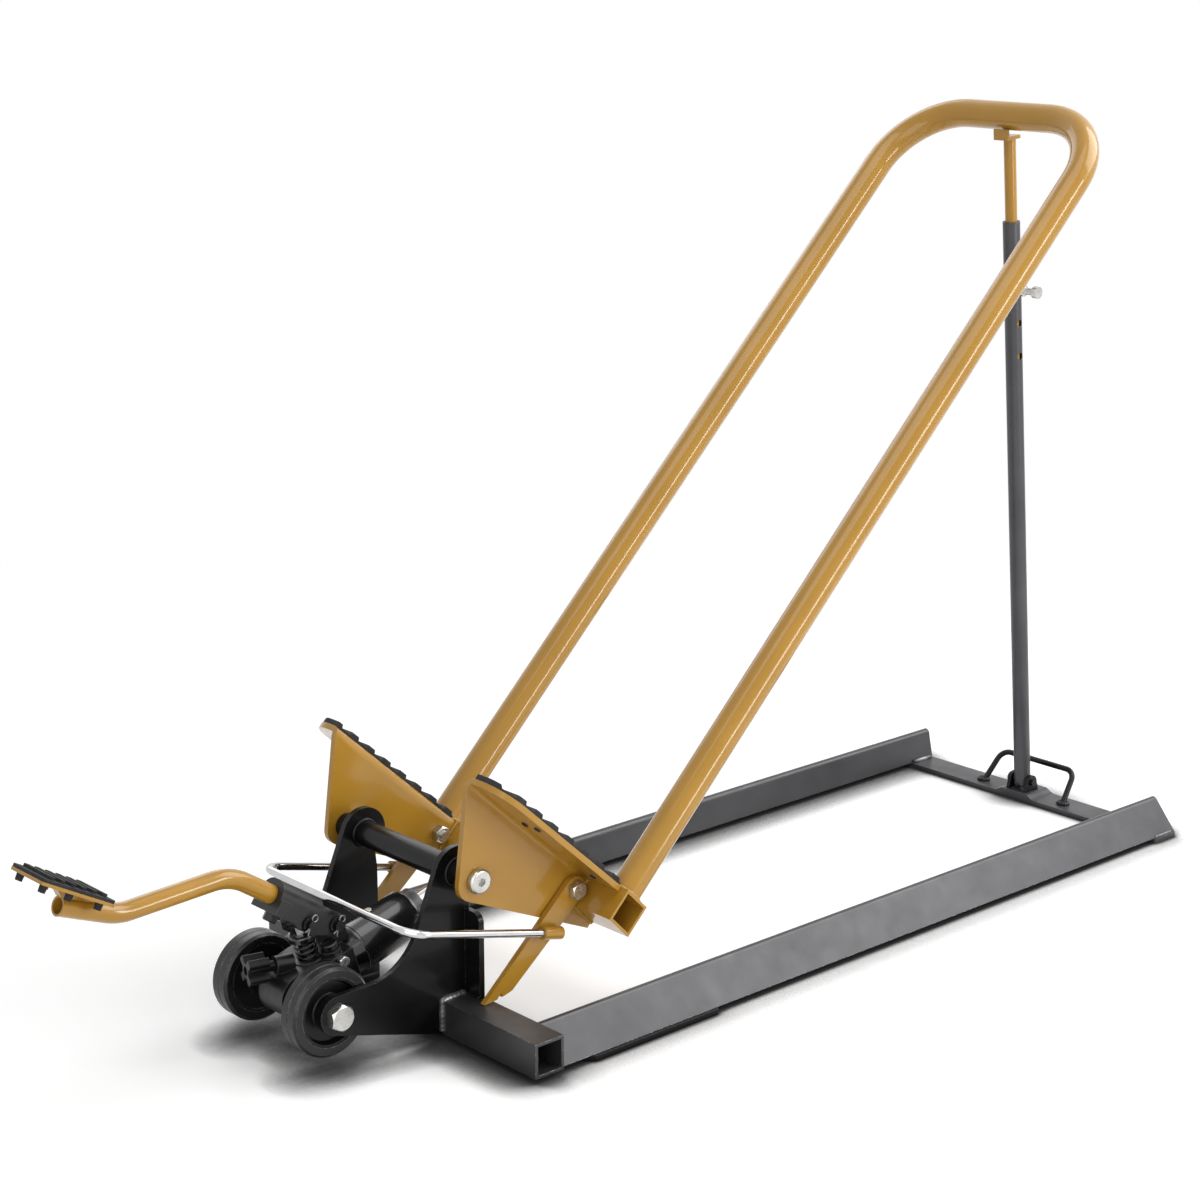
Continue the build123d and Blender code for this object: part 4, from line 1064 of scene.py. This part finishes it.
@dataclass
class WheelRest(SubAssembly):
    """The folded lift brackets and the ribbed rubber pads that carry the mower's wheels.

    A rest has its own frame: run is the distance down its slope from the CAD rest's front end, out is the
    distance from the jack's middle plane, and up is the distance off the rest's top face, square to it.

    Attributes:
        start: X and Z where run begins.
        slope: Slope of the rest in degrees.
        ends: Run of the front and rear end of the rest.
        web: Out of the inner and outer face of the upright plate.
        fold: Inner radius of the fold.
        edge: Out of the rest's free edge.
        corner: Radius of its free front corner.
        plate: Run and up of the upright plate's lower corners, from the front.
        heel: Radius of the middle one of them.
        shelf: Run and up of the strip below the cross tube: its ends and its top.
        bolts: X, Z and radius of the holes in the upright plate.
        pad_inner: Out of a pad's inner edge.
        pad_base: Thickness of a pad between its ribs.
        pad_margin: How far a pad stays inside the rest's edges.
        shoulder: Radius of a pad's long edges.
        rib: Height, length and spacing of a pad's ribs.
        rib_flank: Length of a rib's sloped flank.
        last_rib: Run from the rear end back to the last rib's middle.
        studs: Run and out of the studs that hold a pad.
        stud_profile: Radius and up of a stud, from its root to its tip.
        crease: Angles in degrees past which a bracket's and a pad's edges stay sharp.
    """

    start: tuple[float, float] = (-4.0, 290.0)
    slope: float = 42.2
    ends: tuple[float, float] = (27.9, 226.4)
    web: tuple[float, float] = (101.0, 107.0)
    fold: float = 4.0
    edge: float = 153.0
    corner: float = 34.0
    plate: tuple[tuple[float, float], ...] = ((27.9, -10.0), (90.7, -100.0), (262.1, -44.2))
    heel: float = 14.0
    shelf: tuple[float, float, float] = (222.0, 262.0, -36.4)
    bolts: tuple[tuple[float, float, float], ...] = ((20.0, 168.0, 8.5), (138.5, 130.0, 5.5))
    pad_inner: float = 108.5
    pad_base: float = 2.6
    pad_margin: float = 1.5
    shoulder: float = 1.0
    rib: tuple[float, float, float] = (3.2, 12.0, 26.5)
    rib_flank: float = 1.8
    last_rib: float = 11.0
    studs: tuple[tuple[float, float], ...] = ((103.0, 121.0), (104.0, 138.5), (205.0, 134.0))
    stud_profile: tuple[tuple[float, float], ...] = ((3.5, 1.0), (3.5, -6.9), (3.0, -7.4), (0.4, -7.4))
    crease: tuple[float, float] = (25.0, 50.0)

    def place(self, run: Array, out: Array, up: Array) -> Array:
        """Points of the rest's frame in the maker's frame.

        Args:
            run: Distance down the slope.
            out: Distance from the middle plane, negative to the operator's right.
            up: Distance square to the slope.

        Returns:
            The points.
        """
        turn = math.radians(self.slope)
        x = self.start[0] + run * math.cos(turn) + up * math.sin(turn)
        z = self.start[1] - run * math.sin(turn) + up * math.cos(turn)
        return np.stack(np.broadcast_arrays(x, out, z), axis=-1)

    def free_edge(self, run: Array) -> Array:
        """Out of the free edge: straight, with a quarter circle at the front corner.

        Args:
            run: Distances down the slope.

        Returns:
            The edge at each of them.
        """
        short = self.corner - np.clip(run - self.ends[0], 0.0, self.corner)
        return self.edge - self.corner + np.sqrt(np.maximum(self.corner ** 2 - short ** 2, 0.0))

    def lower_edge(self, run: Array) -> Array:
        """Up of the plate's lower edge: two straight runs joined by a parabola at the heel.

        Args:
            run: Distances down the slope.

        Returns:
            The edge at each of them.
        """
        front, heel, rear = (np.array(corner) for corner in self.plate)
        before = heel + (front - heel) / np.linalg.norm(front - heel) * self.heel
        after = heel + (rear - heel) / np.linalg.norm(rear - heel) * self.heel
        share = np.linspace(0.0, 1.0, 24)[:, None]
        bend = (1 - share) ** 2 * before + 2 * share * (1 - share) * heel + share ** 2 * after
        line = np.concatenate([front[None], bend, rear[None]])
        return np.interp(run, line[:, 0], line[:, 1])

    def sheet(self, run: Array) -> tuple[Array, Array]:
        """Section of the folded sheet: along the rest, round the fold, down the plate and back.

        Args:
            run: Distances down the slope, in a column.

        Returns:
            Out and up of the section's points at each of them.
        """
        inner, outer = self.web
        thick = outer - inner
        big = self.fold + thick
        middle = outer + self.fold
        turn = np.radians(np.linspace(90.0, 180.0, 13))
        back = turn[::-1]
        beside = 1.0
        below = -big - beside
        round_out, round_up = middle + big * np.cos(turn), big * np.sin(turn) - big
        back_out, back_up = middle + self.fold * np.cos(back), self.fold * np.sin(back) - big
        start = [middle + beside]
        fixed_out = np.concatenate([start, round_out, [inner, inner, outer, outer], back_out, start])
        fixed_up = np.concatenate([[0.0], round_up, [below, 0.0, 0.0, below], back_up, [-thick]])
        tip = self.free_edge(run)
        out = np.concatenate([tip, np.broadcast_to(fixed_out, (len(run), len(fixed_out))), tip], axis=1)
        rise = np.broadcast_to(fixed_up, (len(run), len(fixed_up))).copy()
        low = len(round_out) + 2
        rise[:, low:low + 2] = self.lower_edge(run)
        rise[:, low - 1] = np.maximum(rise[:, low - 1], rise[:, low])
        rise[:, low + 2] = rise[:, low - 1]
        up = np.concatenate([np.zeros_like(tip), rise, np.full_like(tip, -thick)], axis=1)
        return out, up

    def drill(self, piece: bpy.types.Object, side: int) -> None:
        """Cut the bolt holes through the upright plate.

        Args:
            piece: The bracket.
            side: -1 on the operator's right, 1 on the left.
        """
        cutters = SurfaceStock()
        past = 5.0
        reach = (self.web[0] - past, self.web[1] + past)
        for x, z, radius in self.bolts:
            ends = [ring((x, side * out, z), LEFTWARD, radius, 48) for out in reach]
            cutters.lay(np.stack(ends), False)
        cutter = cutters.piece("drill", self.yard)
        hole = piece.modifiers.new("holes", "BOOLEAN")
        hole.object = cutter
        hole.solver = "EXACT"
        bpy.context.view_layer.update()
        whole = piece.evaluated_get(bpy.context.evaluated_depsgraph_get())
        drilled = bpy.data.meshes.new_from_object(whole)
        drilled.set_sharp_from_angle(angle=math.radians(self.crease[0]))
        piece.modifiers.clear()
        piece.data = drilled
        bpy.data.objects.remove(cutter)

    def fold_bracket(self, name: str, side: int) -> None:
        """Fold a bracket: its sheet section carried down the slope, with a strip below the cross tube.

        Args:
            name: Which side, as the CAD nodes name it.
            side: -1 on the operator's right, 1 on the left.
        """
        bulge = self.ends[0] + self.corner * (1 - np.cos(np.linspace(0.0, np.pi / 2, 25)))
        plain = np.linspace(bulge[-1], self.ends[1], 120)[1:]
        run = np.concatenate([bulge, plain])[:, None]
        out, up = self.sheet(run)
        stock = SurfaceStock()
        stock.lay(self.place(run, side * out, up), False)
        first, last, top = self.shelf
        run = np.linspace(first, last, 9)[:, None]
        low = self.lower_edge(run)
        high = np.full_like(low, top)
        inner, outer = self.web
        out = np.array([inner, outer, outer, inner])
        stock.lay(self.place(run, side * out, np.concatenate([high, high, low, low], axis=1)), False)
        piece = self.fit(stock, name + "_rest_bracket", "lift", "gold_paint", Coat.GOLD, self.crease[0])
        self.drill(piece, side)
        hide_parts(name + "_bracket")

    def mould_pad(self, name: str, side: int) -> None:
        """Mould a pad: a round-shouldered strip down the slope, stepped by ribs with sloped flanks.

        Args:
            name: Which side, as the CAD nodes name it.
            side: -1 on the operator's right, 1 on the left.
        """
        height, length, pitch = self.rib
        front, rear = self.ends
        run = np.linspace(front + self.pad_margin, rear - self.pad_margin, 420)[:, None]
        off = np.abs(((rear - self.last_rib - run) / pitch + 0.5) % 1.0 - 0.5) * pitch
        top = self.pad_base + height * np.clip((length / 2 - off) / self.rib_flank + 0.5, 0.0, 1.0)
        bend = self.shoulder
        tip = np.maximum(self.free_edge(run) - self.pad_margin, self.pad_inner + 3 * bend)
        turn = np.radians(np.linspace(0.0, 90.0, 5))
        back = turn[::-1]
        root, foot = np.full_like(tip, self.pad_inner), np.zeros_like(tip)
        out = [tip, tip - bend + bend * np.cos(turn), root + bend - bend * np.cos(back), root]
        up = [foot, top - bend + bend * np.sin(turn), top - bend + bend * np.sin(back), foot]
        stock = SurfaceStock()
        strip = self.place(run, side * np.concatenate(out, axis=1), np.concatenate(up, axis=1))
        stock.lay(strip, False)
        turn = np.linspace(0.0, 2 * np.pi, 28, endpoint=False)[None]
        radii, heights = np.array(self.stud_profile).T[..., None]
        for at, across in self.studs:
            around = side * (across + radii * np.sin(turn))
            stock.lay(self.place(at + radii * np.cos(turn), around, heights), False)
        piece = self.fit(stock, name + "_rest_pad", "lift", "rubber", Coat.RUBBER, self.crease[1])
        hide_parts(name + "_wheel_pad")


@dataclass
class Latch(SubAssembly):
    """Safety latch arms, sleeves and the wire bail."""

    def dress(self) -> None:
        """Finish the latch's nodes."""
        self.coat(Coat.GOLD, "left_latch_arm", "right_latch_arm", "bail_sockets")
        self.coat(Coat.CHROME, "release_bail")


@dataclass
class Hydraulics(SubAssembly):
    """Pump body, ram, plunger, spring and release knob.

    Attributes:
        base: X and Z of the pivot where the ram's own frame starts.
        angle: Slope of the ram in degrees.
        station: Distance of the plunger along the ram.
        foot: Height of the spring's lower seat over the ram's axis.
        head: Height of its upper seat.
        wire: Radius of its wire.
        radius: Radius of its coil.
        turns: Number of its open turns.
        flat: Share of the wire that lies flat at each end.
        seat: Step from a flat end to the open turns.
        stroke: Stroke of the plunger.
    """

    base: tuple[float, float] = (-124.0, 62.0)
    angle: float = 16.58
    station: float = 30.0
    foot: float = 24.0
    head: float = 49.0
    wire: float = 1.25
    radius: float = 9.75
    turns: float = 4.0
    flat: float = 0.12
    seat: float = 0.1
    stroke: float = 10.03

    def dress(self) -> None:
        """Finish the hydraulic unit's nodes."""
        self.coat(Coat.PUMP, "pump_block")
        self.coat(Coat.RAM, "ram_cylinder", "spring_cup")
        self.coat(Coat.STEEL, "ram_gland", "ram_head", "ram_piston")
        self.coat(Coat.CHROME, "ram_rod", "pump_plunger")
        self.coat(Coat.ZINC, "bleed_screw", "gauge_plug")
        self.coat(Coat.PHOSPHATE, "filler_plug")
        self.coat(Coat.PLASTIC, "release_knob")

    def place(self, along: Array | float, across: Array | float, up: Array | float) -> Array:
        """Points of the ram's own frame in the maker's frame.

        Args:
            along: Distance along the ram from its base pivot.
            across: Distance to the operator's left.
            up: Distance square to the ram.

        Returns:
            The points.
        """
        turn = math.radians(self.angle)
        x = self.base[0] + along * math.cos(turn) - up * math.sin(turn)
        z = self.base[1] + along * math.sin(turn) + up * math.cos(turn)
        return np.stack(np.broadcast_arrays(x, across, z), axis=-1)

    def wind_spring(self) -> None:
        """Wind the return spring: a helix in round wire that lies flat on its seat at both ends."""
        low, high = self.foot + self.wire, self.head - self.wire
        turn = np.linspace(0.0, 1.0, 385)
        share = np.clip((turn - self.flat) / (1 - 2 * self.flat), 0.0, 1.0)
        press = np.clip(1 - turn / self.flat, 0.0, None) - np.clip(1 - (1 - turn) / self.flat, 0.0, None)
        rise = low + self.seat + (high - low - 2 * self.seat) * share - 0.9 * self.wire * press
        rise = np.clip(rise, low, high)
        phase = 2 * np.pi * (self.turns + 1) * turn
        path = self.place(self.station + self.radius * np.cos(phase), self.radius * np.sin(phase), rise)
        around = np.linspace(0.0, 2 * np.pi, 12, endpoint=False)
        section = self.wire * np.stack([np.cos(around), np.sin(around)], axis=-1)
        axis = self.place(0.0, 0.0, 1.0) - self.place(0.0, 0.0, 0.0)
        stock = SurfaceStock()
        stock.lay(carried(path, axis, section, False), False)
        piece = self.fit(stock, "return_spring", "pump", "steel", Coat.PHOSPHATE)
        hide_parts("pump_spring")
        anchor = self.yard.points(self.place(self.station, 0.0, self.foot))
        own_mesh(piece)


@dataclass
class Pedal(SubAssembly):
    """Pedal socket, lever, plate and the split pins of its pivots.

    Attributes:
        pins: X and Z of the two pivots.
        leans: Lean of each split pin in degrees.
        clip_y: Distance of the split pins from the middle plane.
        wire: Radius of their wire.
        eye: Radius of their eye.
        mouth: Share of the eye's ring that is there.
        leg: Length of their longer leg.
        straight: Share of a leg that stays straight.
        splay: How strongly the tips part.
        stagger: How much shorter the other leg is, as a share.
    """

    pins: tuple[tuple[float, float], ...] = ((-79.6, 123.3), (-111.7, 132.5))
    leans: tuple[float, ...] = (60.0, 53.0)
    clip_y: float = 21.2
    wire: float = 0.7
    eye: float = 3.2
    mouth: float = 0.86
    leg: float = 14.0
    straight: float = 0.55
    splay: float = 11.0
    stagger: float = 0.12

    def dress(self) -> None:
        """Finish the pedal's nodes."""
        self.coat(Coat.PUMP, "pedal_socket")
        self.coat(Coat.GOLD, "pedal_lever", "pedal_plate")
        self.coat(Coat.RUBBER, "pedal_pad")
        self.coat(Coat.PHOSPHATE, "pedal_pin", "link_pin", "pin_clips", "socket_screw")

    def cotter(self) -> Array:
        """Bent line of a split pin: up one leg, round the eye and down the other leg, the tips splayed.

        Returns:
            Points in the pin's own plane, two to a row, the legs along the first axis.
        """
        down = np.linspace(-1.0, 0.0, 30)
        apart = self.wire + self.splay * np.clip(-down - self.straight, 0.0, 1.0) ** 2
        leg = np.stack([self.leg * down + self.eye, -apart], axis=-1)
        turn = np.linspace(-self.mouth, self.mouth, 40) * np.pi
        loop = np.stack([2.2 * self.eye + self.eye * np.cos(turn), self.eye * np.sin(turn)], axis=-1)
        short = np.array([self.stagger * self.leg, 0.0]) * (down[::-1, None] < -0.5)
        other = leg[::-1] * np.array([1.0, -1.0]) + short
        return np.concatenate([leg, loop, other])

    def clip(self) -> None:
        """Put a split pin through the near end of each pin."""
        stock = SurfaceStock()
        around = np.linspace(0.0, 2 * np.pi, 10, endpoint=False)
        section = self.wire * np.stack([np.cos(around), np.sin(around)], axis=-1)
        for (x, z), lean in zip(self.pins, self.leans):
            turn = math.radians(lean)
            flat = self.cotter()
            along = np.array([math.cos(turn), 0.0, math.sin(turn)])
            across = np.array([-math.sin(turn), 0.0, math.cos(turn)])
            centre = np.array([x, -self.clip_y, z])
            path = spaced(centre + flat[:, :1] * along + flat[:, 1:] * across, 0.4)
            stock.lay(carried(path, LEFTWARD, section, False), False)
        self.fit(stock, "split_pins", "pedal", "zinc", Coat.STEEL)


@dataclass
class Prop(SubAssembly):
    """The folding prop and its pull pin."""

    def dress(self) -> None:
        """Finish the prop's nodes."""
        self.coat(Coat.GRAPHITE, "prop_tube")
        self.coat(Coat.GOLD, "prop_rod", "prop_saddle")
        self.coat(Coat.ZINC, "lock_pin")


@dataclass(frozen=True)
class Lamp:
    """A soft light that looks at the jack, square or a strip.

    Attributes:
        name: Its name.
        place: Where it hangs, in metres.
        size: Its side, or a strip's width, in metres.
        power: Its power in watts.
        length: A strip's length in metres.
        lean: A strip's lean from level in degrees.
    """

    name: str
    place: tuple[float, float, float]
    size: float
    power: float
    length: float = 0.0
    lean: float = 0.0

    def hang(self, target: tuple[float, float, float]) -> None:
        """Put the light in the scene.

        Args:
            target: What it looks at, in metres.
        """
        data = bpy.data.lights.new(self.name, "AREA")
        data.shape = "RECTANGLE"
        data.size = self.length or self.size
        data.size_y = self.size
        data.energy = self.power
        light = bpy.data.objects.new(self.name, data)
        bpy.context.scene.collection.objects.link(light)
        light.location = self.place
        light.rotation_mode = "QUATERNION"
        aim = (Vector(target) - Vector(self.place)).to_track_quat("-Z", "Y")
        light.rotation_quaternion = aim @ Quaternion((0.0, 0.0, 1.0), math.radians(self.lean))


LAMPS = (
    Lamp("overhead_softbox", (-0.3, -0.5, 3.0), 2.0, 24.0),
    Lamp("rear_right_softbox", (2.1, -1.0, 2.2), 2.2, 60.0),
    Lamp("front_softbox", (-2.6, -2.0, 1.2), 2.8, 36.0),
    Lamp("right_strip", (1.3, -2.9, 0.9), 0.55, 38.0, 1.8, 44.5),
    Lamp("rear_left_softbox", (1.0, 3.0, 2.2), 2.2, 20.0),
)


@dataclass
class Studio:
    """Pale floor, soft light and the camera at the photograph's angle.

    Attributes:
        yard: Where the maker's frame lies.
        eye: Camera's place in millimetres.
        azimuth: Camera's turn about Z in degrees.
        elevation: Camera's height above the horizon in degrees.
        focal: Focal length in pixels of the frame.
        frame: Side of the frame in pixels.
        sensor: Side of the camera's sensor in millimetres.
        target: What the lamps look at, in metres.
        ambient: Strength of the surroundings as a light.
        half: Half the side of the floor in metres.
        fade: Distances where the floor starts to fade and where it is gone, in metres.
        painted_contact_shadow: Reach in metres of the painted shadow close to a piece, and the occlusion
            values taken as fully shaded and as open.
        around: The same for the wider painted shadow.
        painted_shadow_greys: Floor's grey in the deepest painted shadow and in the open.
        glow: Light that the floor adds where it is seen.
    """

    yard: Yard
    eye: tuple[float, float, float] = (-1423.2, -1879.6, 1051.2)
    azimuth: float = -42.074
    elevation: float = 14.912
    focal: float = 2565.33
    frame: float = 1200.0
    sensor: float = 36.0
    target: tuple[float, float, float] = (0.0, 0.0, 0.35)
    ambient: float = 0.32
    half: float = 4.0
    fade: tuple[float, float] = (1.1, 2.2)
    painted_contact_shadow: tuple[float, float, float] = (0.05, 0.5, 0.985)
    around: tuple[float, float, float] = (0.14, 0.2, 0.66)
    painted_shadow_greys: tuple[float, float] = (0.06, 0.84)
    glow: float = 0.27

    def shoot(self) -> None:
        """Set the camera."""
        data = bpy.data.cameras.new("camera")
        data.sensor_width = self.sensor
        data.lens = self.focal * self.sensor / self.frame
        data.clip_end = 50.0
        camera = bpy.data.objects.new("camera", data)
        bpy.context.scene.collection.objects.link(camera)
        camera.location = Vector(self.yard.points(np.array(self.eye)).tolist())
        turn, lift = math.radians(self.azimuth), math.radians(self.elevation)
        back = Vector((math.sin(turn) * math.cos(lift), -math.cos(turn) * math.cos(lift), math.sin(lift)))
        camera.rotation_mode = "QUATERNION"
        camera.rotation_quaternion = (-back).to_track_quat("-Z", "Y")
        bpy.context.scene.camera = camera

    def light(self) -> None:
        """Hang the lamps and set the surroundings: white where they are seen, softer as a light."""
        for lamp in LAMPS:
            lamp.hang(self.target)
        world = bpy.data.worlds.new("studio")
        bpy.context.scene.world = world
        world.use_nodes = True
        tree = NodeTree(world.node_tree)
        soft = tree.add("ShaderNodeBackground", {"Color": WHITE, "Strength": self.ambient})
        white = tree.add("ShaderNodeBackground", {"Color": WHITE, "Strength": 1.0})
        both = tree.blend(tree.seen(), soft, white)
        tree.add("ShaderNodeOutputWorld", {"Surface": both.outputs[0]})
        bpy.context.scene.view_settings.view_transform = "Standard"

    @staticmethod
    def painted_shade_openness(sheet: NodeSheet, reach: float, low: float, high: float) -> Socket:
        """How open the floor lies to the pieces above it, by ambient occlusion; it sets the floor's painted
        shadow.

        Args:
            sheet: The floor's tree.
            reach: How far away a piece still shades it, in metres.
            low: Openness taken as none.
            high: Openness taken as full.

        Returns:
            0 in the deepest painted shade to 1 in the open.
        """
        air = sheet.add("ShaderNodeAmbientOcclusion", {"Distance": reach}, samples=8).outputs["AO"]
        return sheet.spread(air, low, high)

    def floor(self) -> None:
        """Lay the pale floor, which keeps the lamps' shadow, adds a painted shadow by ambient occlusion near
        the pieces, and fades into the white surroundings.
        """
        half = self.half
        corners = [(-half, -half, 0.0), (half, -half, 0.0), (half, half, 0.0), (-half, half, 0.0)]
        mesh = bpy.data.meshes.new("floor")
        mesh.from_pydata(corners, [], [[0, 1, 2, 3]])
        floor = bpy.data.objects.new("floor", mesh)
        bpy.context.scene.collection.objects.link(floor)
        sheet = NodeSheet("pale_floor_painted_shadow")
        # Painted shadow: ambient occlusion darkens the floor's colour and glow near the pieces.
        close = self.painted_shade_openness(sheet, *self.painted_contact_shadow)
        close = sheet.add("ShaderNodeMath", {0: close, 1: 3.0}, operation="POWER").outputs[0]
        unshaded_by_paint = sheet.times(close, self.painted_shade_openness(sheet, *self.around))
        painted_shadow_grey, pale = ((grey, grey, grey) for grey in self.painted_shadow_greys)
        matt = sheet.add("ShaderNodeBsdfDiffuse", {"Color": sheet.mix(unshaded_by_paint, painted_shadow_grey, pale)})
        strength = sheet.times(unshaded_by_paint, self.glow)
        glow = sheet.add("ShaderNodeEmission", {"Color": WHITE, "Strength": strength})
        both = sheet.add("ShaderNodeAddShader", {0: matt.outputs[0], 1: glow.outputs[0]})
        shown = sheet.blend(sheet.seen(), matt, both)
        away = sheet.add("ShaderNodeVectorMath", {0: sheet.place}, operation="LENGTH").outputs["Value"]
        clear = sheet.add("ShaderNodeBsdfTransparent")
        faded = sheet.blend(sheet.spread(away, *self.fade), shown, clear)
        sheet.add("ShaderNodeOutputMaterial", {"Surface": faded.outputs[0]})
        mesh.materials.append(sheet.material)


def clear_scene() -> None:
    """Remove Blender's starting objects."""
    for thing in list(bpy.data.objects):
        bpy.data.objects.remove(thing)


def main() -> None:
    """Build every sub-assembly, dress it and set the studio."""
    logging.basicConfig(level=logging.INFO, format="%(name)s %(message)s")
    clear_scene()
    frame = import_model()
    yard = Yard(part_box("front_tubes")[0].x)
    shared = (yard, Palette(), frame["nodes"])
    base = Base(*shared)
    base.dress()
    base.weld()
    base.raise_bar()
    wheels = Wheels(*shared)
    wheels.dress()
    wheels.cut_thread()
    lift = Lift(*shared)
    lift.dress()
    lift.weld()
    rest = WheelRest(*shared)
    for name, side in (("right", -1), ("left", 1)):
        rest.fold_bracket(name, side)
        rest.mould_pad(name, side)
    Latch(*shared).dress()
    hydraulics = Hydraulics(*shared)
    hydraulics.dress()
    hydraulics.wind_spring()
    pedal = Pedal(*shared)
    pedal.dress()
    pedal.clip()
    Prop(*shared).dress()
    studio = Studio(yard)
    studio.floor()
    studio.light()
    studio.shoot()


if __name__ == "__main__":
    main()
